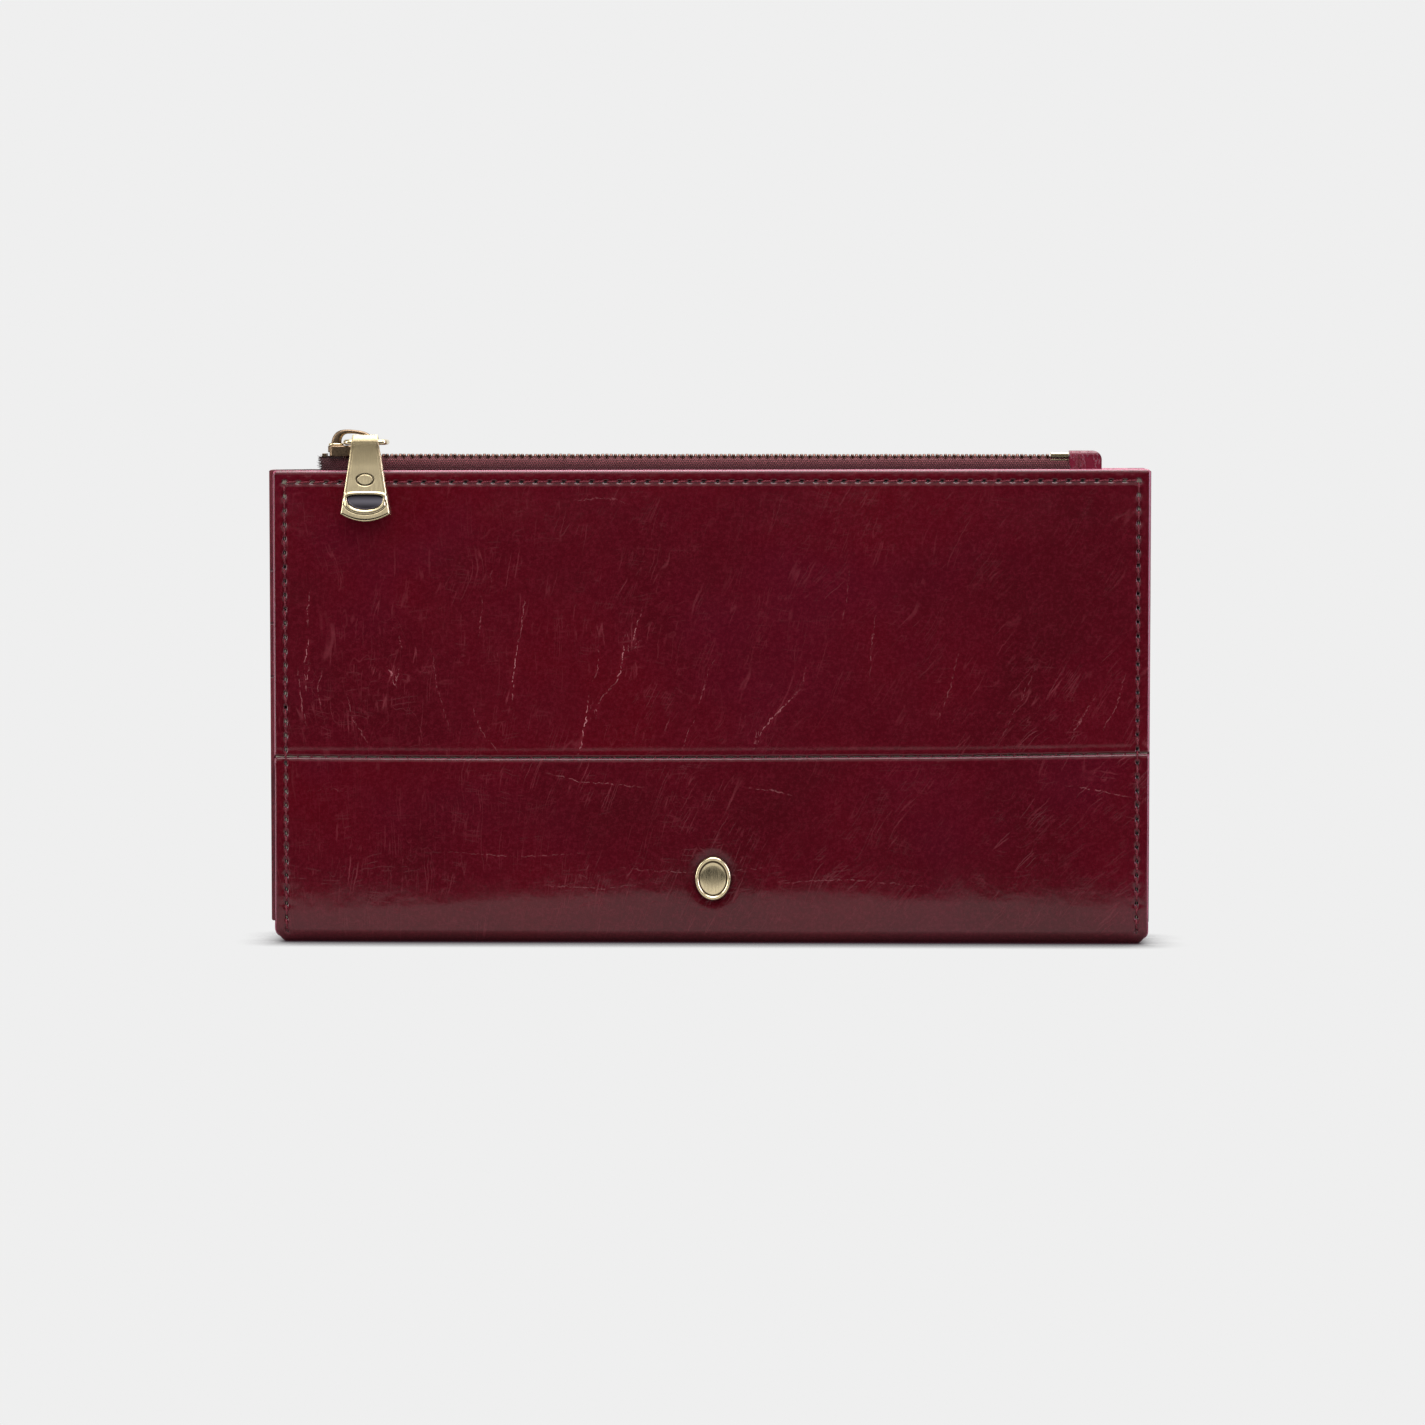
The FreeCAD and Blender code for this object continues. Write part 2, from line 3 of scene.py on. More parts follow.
import bpy
import numpy as np
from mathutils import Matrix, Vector


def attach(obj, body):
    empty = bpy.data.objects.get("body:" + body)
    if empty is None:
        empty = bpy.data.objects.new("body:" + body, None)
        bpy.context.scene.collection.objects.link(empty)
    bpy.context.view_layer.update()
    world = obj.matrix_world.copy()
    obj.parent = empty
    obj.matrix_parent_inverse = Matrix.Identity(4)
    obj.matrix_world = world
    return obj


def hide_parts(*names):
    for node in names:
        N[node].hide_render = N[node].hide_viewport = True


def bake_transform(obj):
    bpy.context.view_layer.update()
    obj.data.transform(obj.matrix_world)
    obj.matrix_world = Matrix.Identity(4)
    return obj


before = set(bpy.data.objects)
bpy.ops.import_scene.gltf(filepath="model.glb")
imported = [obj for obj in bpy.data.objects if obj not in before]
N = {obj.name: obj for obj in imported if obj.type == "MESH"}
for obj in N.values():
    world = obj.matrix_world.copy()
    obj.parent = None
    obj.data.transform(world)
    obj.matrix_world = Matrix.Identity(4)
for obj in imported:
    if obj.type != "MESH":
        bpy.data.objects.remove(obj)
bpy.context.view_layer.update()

rng = np.random.default_rng(11)

# ------------------------------------------------------------------ sizes (mm)
XW, YF, YB = 98.425, -8.25, 8.25
ZY = -3.8
STX = 95.75
PX = 2 * STX / 61
PZ = 3.165


def sm(t):
    t = np.clip(t, 0.0, 1.0)
    return t * t * (3 - 2 * t)


def z_top(x):
    return 106.62 + 0.22 * x / 98.0


def z_seam(x):
    return np.interp(x, [-98.4, -50, 0, 55, 98.4], [42.0, 41.85, 42.05, 42.4, 43.15])


def z_row(x):
    return 104.0 + 0.25 * x / 98.0


# ------------------------------------------------------------------ mesh helpers
def make(name, verts, faces, mat, attrs=None, smooth=True, mats=None, face_mat=None):
    me = bpy.data.meshes.new(name)
    v = np.asarray(verts, float) * 0.001
    me.from_pydata(v.tolist(), [], [tuple(int(i) for i in f) for f in faces])
    me.update()
    for m in mats or [mat]:
        me.materials.append(m)
    if face_mat is not None:
        me.polygons.foreach_set("material_index", np.asarray(face_mat, np.int32))
    me.polygons.foreach_set("use_smooth", np.full(len(me.polygons), smooth))
    for k, a in (attrs or {}).items():
        a = np.asarray(a, np.float32)
        if a.ndim == 1:
            at = me.attributes.new(k, "FLOAT", "POINT")
            at.data.foreach_set("value", a)
        else:
            at = me.attributes.new(k, "FLOAT_VECTOR", "POINT")
            at.data.foreach_set("vector", a.ravel())
    o = bpy.data.objects.new(name, me)
    bpy.context.scene.collection.objects.link(o)
    return o


def place(o, body, slot, *replaced):
    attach(o, body)
    if replaced:
        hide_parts(*replaced)
    return o


def grid(nu, nv, off=0, wrap_u=False, wrap_v=False, flip=False):
    """Quads of an nu x nv grid whose vertex (i, j) is off + i * nv + j."""
    iu = np.arange(nu if wrap_u else nu - 1)
    iv = np.arange(nv if wrap_v else nv - 1)
    a, b = np.meshgrid(iu, iv, indexing="ij")
    a1, b1 = (a + 1) % nu, (b + 1) % nv
    q = np.stack([a * nv + b, a1 * nv + b, a1 * nv + b1, a * nv + b1], -1).reshape(-1, 4) + off
    return q[:, ::-1] if flip else q


def lines(pinned, extra, gap):
    """Sorted grid lines: every pinned one, and each extra one that has room."""
    keep = sorted(set(round(float(p), 5) for p in pinned))
    out = list(keep)
    for e in sorted(extra):
        if min(abs(e - k) for k in out) >= gap:
            out.append(float(e))
    return np.array(sorted(out))


def round_offsets(r, n):
    """Distances in from an edge that sample a quarter round evenly."""
    return [r * (1 - math.cos(a)) for a in np.linspace(0, math.pi / 2, n + 1)]


def drop(d, r):
    """How far a quarter round of radius r falls at distance d in from the edge."""
    t = np.clip(r - d, 0, r)
    return r - np.sqrt(np.maximum(r * r - t * t, 0))


def smooth_noise(x, z, seed, scale):
    """A few fixed sines, for soft waves that repeat in every run."""
    g = np.random.default_rng(seed)
    out = np.zeros_like(x, dtype=float)
    for _ in range(9):
        a, b, p = g.uniform(-1, 1), g.uniform(-1, 1), g.uniform(0, 6.28)
        k = 2 * math.pi / scale * g.uniform(0.5, 1.3)
        out += np.sin(k * (a * x + b * z) + p)
    return out / 4.0


# ------------------------------------------------------------------ surface shape
def belly(x, z, seed):
    """How far the leather falls back from the fullest plane."""
    ax = np.abs(x)
    s = 0.50 * sm((ax - 70) / 28.5) ** 1.5 + 0.22 * sm((z - 88) / 19)
    w = 0.10 * smooth_noise(x, z, seed, 62) + 0.035 * smooth_noise(x, z, seed + 5, 21)
    return s + 0.16 + np.clip(w, -0.16, 0.2)


def line_relief(b, ph, pitch, on):
    """Stitch line: a shallow channel, deep long holes and small puckers between."""
    fr = (ph - np.round(ph)) * pitch
    hole = np.exp(-((fr / 0.62) ** 4)) * np.exp(-((b / 0.34) ** 2))
    ch = 0.06 * np.exp(-((b / 0.62) ** 2))
    pk = 0.05 * np.exp(-(((np.abs(b) - 0.95) / 0.36) ** 2)) * (0.55 - 0.45 * np.cos(2 * np.pi * ph + 1.3 * np.sin(ph * 2.7)))
    return on * (0.55 * hole + ch - pk)


def stitch_relief(x, z):
    top = line_relief(z - z_row(x), (x + STX) / PX, PX, (np.abs(x) < STX + 0.6).astype(float))
    side = np.zeros_like(x)
    for s in (-1, 1):
        zr = z_row(s * STX)
        on = ((z < zr + 0.6) & (z > 1.6) & (x * s > 90)).astype(float)
        side += line_relief(x - s * STX, (zr - z) / PZ, PZ, on)
    return np.maximum(top, 0) * (np.abs(z - z_row(x)) < 3) + np.minimum(top, 0) + side


def columns():
    """Grid lines across the two stitched edges."""
    out = []
    for s in (-1, 1):
        out += [s * STX + d for d in (-1.7, -1.25, -0.9, -0.6, -0.36, -0.16, 0, 0.16, 0.36, 0.6, 0.9, 1.25)]
    return out


def stitch_lines(z0, z1, top):
    """Grid lines along a stitched edge, five or six to a stitch."""
    out = []
    k = 0
    while top - k * PZ > z0 - PZ:
        for d in (-0.78, -0.38, 0, 0.38, 0.78, PZ / 2):
            out.append(top - k * PZ + d)
        k += 1
    return [v for v in out if z0 < v < z1]


def seam_gap(x):
    """Half width of the seam's opening; each thread tick pulls it together."""
    ph = (x + 93.0) / 3.1
    return 0.11 + 0.075 * (1 - np.cos(2 * np.pi * ph)) / 2 + 0.02 * np.sin(x * 1.7)


# Worn creases seen on the front, drawn as light lines that are partly wear and partly painted highlight: each is a run
# of (x, z) points and a strength.
def px(*pts):
    return [((p[0] - 710.5) * 0.22448, (945.0 - p[1]) * 0.22448) for p in pts]


VEINS = [
    (px((310, 586), (307, 612), (306, 630)), 0.55),
    (px((308, 640), (306, 652), (303, 663)), 1.0),
    (px((309, 664), (305, 684), (304, 700)), 0.65),
    (px((296, 664), (300, 700), (306, 735)), 0.5),
    (px((322, 668), (316, 690), (322, 712)), 0.45),
    (px((525, 598), (522, 622), (520, 640)), 0.55),
    (px((519, 640), (516, 655), (513, 672), (512, 700)), 1.0),
    (px((399, 636), (401, 650)), 0.5),
    (px((386, 666), (391, 676), (395, 688)), 0.8),
    (px((399, 668), (395, 688)), 0.6),
    (px((480, 590), (482, 606), (478, 640)), 0.4),
    (px((492, 568), (491, 588)), 0.35),
    (px((641, 610), (636, 628), (632, 645)), 0.75),
    (px((625, 636), (622, 660), (620, 674), (615, 686)), 1.0),
    (px((640, 640), (634, 648)), 0.6),
    (px((614, 684), (600, 700), (592, 712)), 0.45),
    (px((588, 697), (586, 718), (582, 742), (577, 757)), 1.15),
    (px((597, 700), (596, 718)), 0.8),
    (px((598, 642), (598, 668), (592, 684)), 0.4),
    (px((716, 656), (708, 672), (703, 690), (697, 712)), 0.45),
    (px((697, 712), (686, 738), (682, 752)), 0.4),
    (px((671, 714), (662, 740)), 0.3),
    (px((806, 665), (802, 686)), 0.4),
    (px((800, 690), (778, 712), (764, 728), (757, 745)), 0.75),
    (px((757, 725), (752, 757)), 0.4),
    (px((876, 610), (872, 640), (869, 680)), 0.45),
    (px((560, 502), (610, 498), (640, 508)), 0.3),
    (px((300, 795), (318, 790), (352, 793)), 0.3),
    (px((540, 772), (580, 782), (650, 788)), 0.45),
    (px((732, 786), (770, 790), (800, 797)), 0.4),
    (px((1062, 784), (1100, 790), (1138, 799)), 0.45),
    (px((430, 852), (520, 858), (600, 853)), 0.35),
    (px((600, 868), (690, 874), (800, 866)), 0.35),
    (px((760, 884), (850, 880), (940, 888)), 0.35),
    (px((520, 885), (600, 890), (660, 884)), 0.3),
    (px((850, 560), (846, 600), (838, 640)), 0.3),
    (px((960, 640), (950, 690), (930, 735)), 0.35),
    (px((1040, 655), (1020, 700), (996, 748)), 0.35),
    (px((1098, 690), (1080, 720), (1066, 748)), 0.4),
    (px((1126, 668), (1118, 700), (1100, 736)), 0.4),
    (px((430, 640), (437, 690), (452, 740)), 0.35),
    (px((345, 690), (352, 720), (372, 752)), 0.4),
    (px((470, 700), (480, 730), (500, 756)), 0.4),
]


def vein_field(x, z):
    """Signed distance to the nearest worn crease, whose light line is partly painted highlight, and its strength, at
    every point.
    """
    shape = x.shape
    p = np.stack([x.ravel(), z.ravel()], -1)
    best = np.full(len(p), 99.0)
    sd = np.full(len(p), 9.0)
    st = np.zeros(len(p))
    for pts, power in VEINS:
        pts = np.array(pts)
        seg = np.linalg.norm(np.diff(pts, axis=0), axis=1)
        total = seg.sum()
        run = 0.0
        lo, hi = pts.min(0) - 4, pts.max(0) + 4
        near = np.where(((p > lo) & (p < hi)).all(1))[0]
        if not len(near):
            continue
        q = p[near]
        for a, b, ln in zip(pts[:-1], pts[1:], seg):
            d = (b - a) / ln
            t = (q - a) @ d
            tc = np.clip(t, 0, ln)
            foot = a + tc[:, None] * d
            dist = np.linalg.norm(q - foot, axis=1)
            side = (q - a) @ np.array([-d[1], d[0]])
            share = (run + tc) / total
            over = np.maximum(np.maximum(-t, t - ln), 0)
            fade = np.sin(np.pi * np.clip(share, 0.03, 0.97)) ** 0.45 * np.exp(-((over / 0.6) ** 2))
            better = dist < best[near]
            idx = near[better]
            best[idx] = dist[better]
            sd[idx] = side[better]
            st[idx] = power * fade[better] * np.exp(-((dist[better] / 2.2) ** 2))
            run += ln
    return sd.reshape(shape), st.reshape(shape)


def flow(x, z):
    """Coordinates that run across and along the fan of hair creases."""
    cx, cz = -78.0, -150.0
    dx, dz = x - cx, z - cz
    r = np.hypot(dx, dz)
    a = np.arctan2(dx, dz)
    return np.stack([a * 230.0, r, np.zeros_like(r)], -1)


def crease_zone(x, z, front):
    """How thickly hair creases cover each place: most at the lower left and lower right."""
    if not front:
        return np.full(x.shape, 0.75)
    def blob(cx, cz, rx, rz):
        return np.exp(-(((x - cx) / rx) ** 2 + ((z - cz) / rz) ** 2))
    v = 0.42 + 0.38 * blob(-80, 52, 42, 34) + 0.35 * blob(-35, 60, 34, 34) + 0.5 * blob(88, 50, 26, 22)
    v += 0.4 * blob(-90, 34, 18, 12) + 0.35 * blob(5, 16, 90, 9) + 0.3 * blob(92, 34, 22, 10) + 0.2 * blob(10, 34, 40, 8)
    return np.clip(v, 0, 1.15)


def leather_attrs(x, s, z, front, edge, hole, seed):
    sd, st = vein_field(x, z) if front else (np.full(x.shape, 9.0), np.zeros(x.shape))
    k = 0.0 if front else 400.0
    lc = np.stack([x + k, s, np.full(x.shape, seed * 37.0)], -1)
    return {
        "lc": lc.reshape(-1, 3),
        "fl": (flow(x, z) + [k, 0, 0]).reshape(-1, 3),
        "vd": sd.ravel(),
        "vs": st.ravel(),
        "cz": crease_zone(x, z, front).ravel(),
        "edge": edge.ravel(),
        "hole": hole.ravel(),
    }


# ------------------------------------------------------------------ node helper
class Mat:
    def __init__(self, name):
        self.m = bpy.data.materials.new(name)
        self.m.use_nodes = True
        self.t = self.m.node_tree
        self.t.nodes.clear()
        self.out = self.t.nodes.new("ShaderNodeOutputMaterial")
        self.b = self.t.nodes.new("ShaderNodeBsdfPrincipled")
        self.t.links.new(self.b.outputs[0], self.out.inputs[0])

    def new(self, kind, **kw):
        n = self.t.nodes.new("ShaderNode" + kind)
        for k, v in kw.items():
            setattr(n, k, v)
        return n

    def put(self, socket, v):
        if isinstance(v, bpy.types.NodeSocket):
            self.t.links.new(v, socket)
        elif v is not None:
            if isinstance(v, (tuple, list)) and len(v) == 3 and socket.type == "RGBA":
                v = (*v, 1.0)
            socket.default_value = v

    def set(self, **kw):
        for k, v in kw.items():
            self.put(self.b.inputs[k.replace("_", " ")], v)

    def obj(self, k=1000.0):
        n = self.new("TexCoord")
        return self.scale(n.outputs["Object"], (k, k, k))

    def attr(self, name, vec=False):
        n = self.new("Attribute", attribute_type="GEOMETRY", attribute_name=name)
        return n.outputs["Vector" if vec else "Fac"]

    def scale(self, v, s):
        n = self.new("VectorMath", operation="MULTIPLY")
        self.put(n.inputs[0], v)
        self.put(n.inputs[1], s)
        return n.outputs[0]

    def vadd(self, v, w):
        n = self.new("VectorMath", operation="ADD")
        self.put(n.inputs[0], v)
        self.put(n.inputs[1], w)
        return n.outputs[0]

    def sep(self, v):
        n = self.new("SeparateXYZ")
        self.put(n.inputs[0], v)
        return n.outputs

    def comb(self, x, y, z):
        n = self.new("CombineXYZ")
        for i, v in enumerate((x, y, z)):
            self.put(n.inputs[i], v)
        return n.outputs[0]

    def math(self, op, a, b=None, c=None, clamp=False):
        n = self.new("Math", operation=op, use_clamp=clamp)
        self.put(n.inputs[0], a)
        if b is not None:
            self.put(n.inputs[1], b)
        if c is not None:
            self.put(n.inputs[2], c)
        return n.outputs[0]

    def noise(self, v, scale, detail=2.0, rough=0.5, dist=0.0, color=False):
        n = self.new("TexNoise")
        self.put(n.inputs["Vector"], v)
        self.put(n.inputs["Scale"], scale)
        self.put(n.inputs["Detail"], detail)
        self.put(n.inputs["Roughness"], rough)
        self.put(n.inputs["Distortion"], dist)
        return n.outputs["Color" if color else "Fac"]

    def voronoi(self, v, scale, feature="DISTANCE_TO_EDGE"):
        n = self.new("TexVoronoi", feature=feature)
        self.put(n.inputs["Vector"], v)
        self.put(n.inputs["Scale"], scale)
        return n.outputs["Distance"]

    def remap(self, v, a, b, c=0.0, d=1.0, smooth=True):
        n = self.new("MapRange", interpolation_type="SMOOTHSTEP" if smooth else "LINEAR")
        self.put(n.inputs[0], v)
        for i, k in enumerate((a, b, c, d)):
            n.inputs[i + 1].default_value = k
        return n.outputs[0]

    def mix(self, f, a, b, kind="MIX"):
        n = self.new("Mix", data_type="RGBA", blend_type=kind)
        n.clamp_factor = True
        self.put(n.inputs["Factor"], f)
        self.put(n.inputs[6], a)
        self.put(n.inputs[7], b)
        return n.outputs[2]

    def ramp(self, f, stops):
        n = self.new("ValToRGB")
        self.put(n.inputs[0], f)
        e = n.color_ramp.elements
        while len(e) > 1:
            e.remove(e[-1])
        for i, (p, c) in enumerate(stops):
            el = e[0] if i == 0 else e.new(p)
            el.position = p
            el.color = (*c, 1.0) if len(c) == 3 else c
        return n.outputs[0]

    def bump(self, h, strength, distance, normal=None):
        n = self.new("Bump")
        self.put(n.inputs["Height"], h)
        n.inputs["Strength"].default_value = strength
        n.inputs["Distance"].default_value = distance
        if normal is not None:
            self.put(n.inputs["Normal"], normal)
        return n.outputs[0]


def rgb(r, g, b):
    def f(c):
        c /= 255.0
        return c / 12.92 if c <= 0.04045 else ((c + 0.055) / 1.055) ** 2.4
    return (f(r), f(g), f(b))


# ------------------------------------------------------------------ materials
def leather_material():
    """Polished, pulled-up oxblood leather: mottled, with hair creases and worn veins whose light lines are partly wear
    and partly painted highlight.
    """
    m = Mat("outer_leather")
    lc, fl = m.attr("lc", True), m.attr("fl", True)
    vd, vs, cz = m.attr("vd"), m.attr("vs"), m.attr("cz")
    edge, hole = m.attr("edge"), m.attr("hole")

    big = m.noise(lc, 0.020, 2.0, 0.45)
    mid = m.noise(m.vadd(lc, (31, 7, 0)), 0.07, 2.0, 0.5)
    tone = m.math("ADD", m.math("MULTIPLY", big, 0.7), m.math("MULTIPLY", mid, 0.3))
    col = m.ramp(tone, [
        (0.34, rgb(63, 8, 16)), (0.46, rgb(69, 8, 18)), (0.54, rgb(72, 8, 18)), (0.66, rgb(74, 6, 15)),
    ])
    purple = m.noise(m.vadd(lc, (300, 90, 5)), 0.03, 2.0, 0.5)
    col = m.mix(m.remap(purple, 0.50, 0.72, 0, 0.4), col, rgb(72, 10, 26))

    grain = m.noise(m.vadd(lc, (3, 3, 50)), 1.5, 2.0, 0.7)
    col = m.mix(m.remap(grain, 0.42, 0.72, 0.0, 0.34), col, rgb(98, 24, 38))
    col = m.mix(m.remap(grain, 0.28, 0.46, 0.30, 0.0), col, rgb(54, 6, 14))

    # hair creases: level lines of stretched noise along the fan, and a few across it
    warp = m.scale(m.noise(lc, 0.045, 1.0, 0.5, 0, True), (9.0, 9.0, 0.0))
    jig = m.scale(m.noise(lc, 0.5, 2.0, 0.6, 0, True), (0.7, 0.7, 0.0))
    f1 = m.vadd(m.vadd(fl, warp), jig)

    def hairline(sx, sy, sc, lev, wid, shift):
        n = m.noise(m.scale(m.vadd(f1, shift), (sx, sy, 1.0)), sc, 1.2, 0.5, 0.0)
        fr = m.math("FRACT", m.math("MULTIPLY", n, lev))
        d = m.math("ABSOLUTE", m.math("SUBTRACT", fr, 0.5))
        return m.remap(d, 0.0, wid, 1.0, 0.0)

    gate1 = m.remap(m.noise(m.scale(fl, (1.0, 0.4, 1.0)), 0.28, 1.5, 0.5), 0.50, 0.62)
    gate2 = m.remap(m.noise(m.vadd(lc, (70, 10, 0)), 0.05, 2.0, 0.5), 0.36, 0.62, 0.35, 1.0)
    gate3 = m.remap(m.noise(m.vadd(lc, (10, 70, 0)), 0.30, 1.5, 0.5), 0.50, 0.64)
    gate4 = m.remap(m.noise(m.vadd(lc, (40, 20, 0)), 0.16, 2.0, 0.6), 0.48, 0.64)
    ha = m.math("MULTIPLY", hairline(1.0, 0.05, 0.30, 8.0, 0.085, (0, 0, 3)), gate1)
    hb = m.math("MULTIPLY", m.math("MULTIPLY", hairline(1.0, 0.07, 0.60, 6.0, 0.10, (9, 0, 8)), gate3), 0.7)
    hc = m.math("MULTIPLY", m.math("MULTIPLY", hairline(0.7, 0.30, 0.20, 10.0, 0.055, (5, 30, 4)), gate4), 0.45)
    h2 = m.noise(m.scale(m.vadd(m.vadd(lc, warp), jig), (0.10, 1.0, 1.0)), 0.30, 1.2, 0.5)
    d2 = m.math("ABSOLUTE", m.math("SUBTRACT", m.math("FRACT", m.math("MULTIPLY", h2, 8.0)), 0.5))
    hd = m.math("MULTIPLY", m.math("MULTIPLY", m.remap(d2, 0.0, 0.08, 1.0, 0.0), gate3), 0.5)
    hairs = m.math("MAXIMUM", m.math("MAXIMUM", ha, hb), m.math("MAXIMUM", hc, hd))
    hairs = m.math("MULTIPLY", m.math("MULTIPLY", hairs, gate2), cz)

    # worn veins: a thin broken light line where the leather has been folded, partly wear and partly painted highlight
    # on the crease ridge
    wob = m.math("MULTIPLY", m.math("SUBTRACT", m.noise(lc, 0.55, 2.0, 0.6), 0.5), 1.6)
    dist = m.math("ABSOLUTE", m.math("ADD", vd, wob))
    core = m.remap(dist, 0.02, 0.17, 1.0, 0.0)
    skirt = m.remap(dist, 0.0, 1.3, 1.0, 0.0)
    broken = m.remap(m.noise(m.vadd(lc, (5, 5, 9)), 0.75, 2.0, 0.7), 0.43, 0.58)
    vein = m.math("MULTIPLY", m.math("MULTIPLY", core, broken), m.remap(vs, 0.15, 1.15, 0.0, 1.0, False))
    near = m.math("MULTIPLY", skirt, m.remap(vs, 0.1, 0.9, 0.0, 1.0))

    # hair creases, vein skirts and vein cores lightened: partly pulled-up wear, partly painted highlight on their
    # ridges
    col = m.mix(m.math("MULTIPLY", hairs, 0.32), col, rgb(142, 62, 72))
    col = m.mix(m.math("MULTIPLY", near, 0.10), col, rgb(112, 26, 38))
    col = m.mix(m.math("MULTIPLY", vein, 0.75), col, rgb(190, 122, 128))
    # edge colour: partly real edge paint, partly painted highlight on the rounded edges; on the seam's rolled lips it
    # is painted highlight and painted reflection
    col = m.mix(m.remap(edge, 0.46, 0.95), col, rgb(150, 84, 102))
    # painted shade: near-black in the stitch holes, and a painted shadow ring round the badge
    col = m.mix(m.remap(hole, 0.15, 0.6), col, rgb(12, 2, 3))

    fine = m.noise(lc, 2.6, 3.0, 0.65)
    soft = m.noise(lc, 0.16, 2.0, 0.5, 0.3)
    h = m.math("MULTIPLY", hairs, 0.55)
    h = m.math("ADD", h, m.math("MULTIPLY", vein, 0.8))
    h = m.math("ADD", h, m.math("MULTIPLY", fine, 0.20))
    nrm = m.bump(soft, 0.16, 0.0004)
    nrm = m.bump(h, 0.5, 0.00008, nrm)
    rough = m.remap(m.noise(lc, 0.12, 3.0, 0.6), 0.3, 0.7, 0.08, 0.13)
    rough = m.math("ADD", rough, m.math("MULTIPLY", m.math("MAXIMUM", hairs, m.math("MULTIPLY", edge, 0.6)), 0.14))
    m.set(Base_Color=col, Roughness=rough, Normal=nrm)
    m.b.inputs["Specular IOR Level"].default_value = 0.38
    m.b.inputs["IOR"].default_value = 1.5
    return m.m


def inner_leather_material():
    m = Mat("inner_leather")
    c = m.obj()
    tone = m.noise(c, 0.04, 4.0, 0.6, 0.5)
    col = m.ramp(tone, [(0.35, rgb(70, 18, 26)), (0.5, rgb(84, 20, 31)), (0.68, rgb(96, 22, 34))])
    cells = m.voronoi(m.vadd(c, m.scale(m.noise(c, 0.9, 2, 0.5, 0, True), (0.9, 0.9, 0.9))), 1.25)
    grain = m.remap(cells, 0.0, 0.16)
    hair = m.noise(m.scale(c, (1.0, 1.0, 0.25)), 0.5, 4.0, 0.65, 0.5)
    line = m.remap(m.math("ABSOLUTE", m.math("SUBTRACT", hair, 0.5)), 0.0, 0.025, 1.0, 0.0)
    col = m.mix(m.math("MULTIPLY", line, 0.28), col, rgb(140, 52, 62))
    z = m.sep(c)[2]
    # a pressed line runs 2 mm under each card slot's mouth
    g = None
    for mouth in (86.0, 74.0, 62.0):
        d = m.math("ABSOLUTE", m.math("SUBTRACT", z, mouth - 2.0))
        one = m.remap(d, 0.10, 0.34, 1.0, 0.0)
        g = one if g is None else m.math("MAXIMUM", g, one)
    col = m.mix(m.math("MULTIPLY", g, 0.5), col, rgb(46, 8, 14))
    h = m.math("ADD", m.math("MULTIPLY", grain, 0.5), m.math("MULTIPLY", line, 0.3))
    nrm = m.bump(h, 0.35, 0.0001)
    nrm = m.bump(m.math("MULTIPLY", g, -1.0), 0.8, 0.00025, nrm)
    m.set(Base_Color=col, Roughness=m.remap(tone, 0.3, 0.7, 0.32, 0.46), Normal=nrm)
    m.b.inputs["Specular IOR Level"].default_value = 0.4
    return m.m


def tab_leather_material():
    """The same polished leather for small parts."""
    m = Mat("tab_leather")
    c = m.obj()
    tone = m.noise(c, 0.12, 3.0, 0.5, 0.3)
    col = m.ramp(tone, [(0.35, rgb(84, 18, 32)), (0.5, rgb(104, 26, 44)), (0.68, rgb(120, 36, 56))])
    n = m.noise(m.scale(c, (1.0, 1.0, 0.4)), 0.9, 3.0, 0.6, 0.5)
    line = m.remap(m.math("ABSOLUTE", m.math("SUBTRACT", n, 0.5)), 0.0, 0.03, 1.0, 0.0)
    col = m.mix(m.math("MULTIPLY", line, 0.2), col, rgb(150, 66, 80))
    h = m.math("ADD", m.math("MULTIPLY", line, 0.3), m.math("MULTIPLY", m.noise(c, 0.45, 1.0, 0.5), 0.5))
    m.set(Base_Color=col, Roughness=m.remap(tone, 0.3, 0.7, 0.14, 0.22), Normal=m.bump(h, 0.6, 0.00025))
    m.b.inputs["Specular IOR Level"].default_value = 0.5
    return m.m


def thread_material(name="thread", a=(66, 20, 28), b=(112, 48, 56)):
    m = Mat(name)
    c = m.obj()
    ply = m.noise(c, 5.0, 2.0, 0.6)
    fib = m.noise(m.scale(c, (1, 1, 1)), 14.0, 2.0, 0.6)
    col = m.mix(m.remap(ply, 0.35, 0.65), rgb(*a), rgb(*b))
    col = m.mix(m.remap(fib, 0.5, 0.8, 0, 0.5), col, rgb(138, 78, 84))
    m.set(Base_Color=col, Roughness=0.8, Normal=m.bump(fib, 0.4, 0.00004))
    m.b.inputs["Sheen Weight"].default_value = 0.04
    m.b.inputs["Sheen Roughness"].default_value = 0.4
    m.b.inputs["Specular IOR Level"].default_value = 0.05
    return m.m


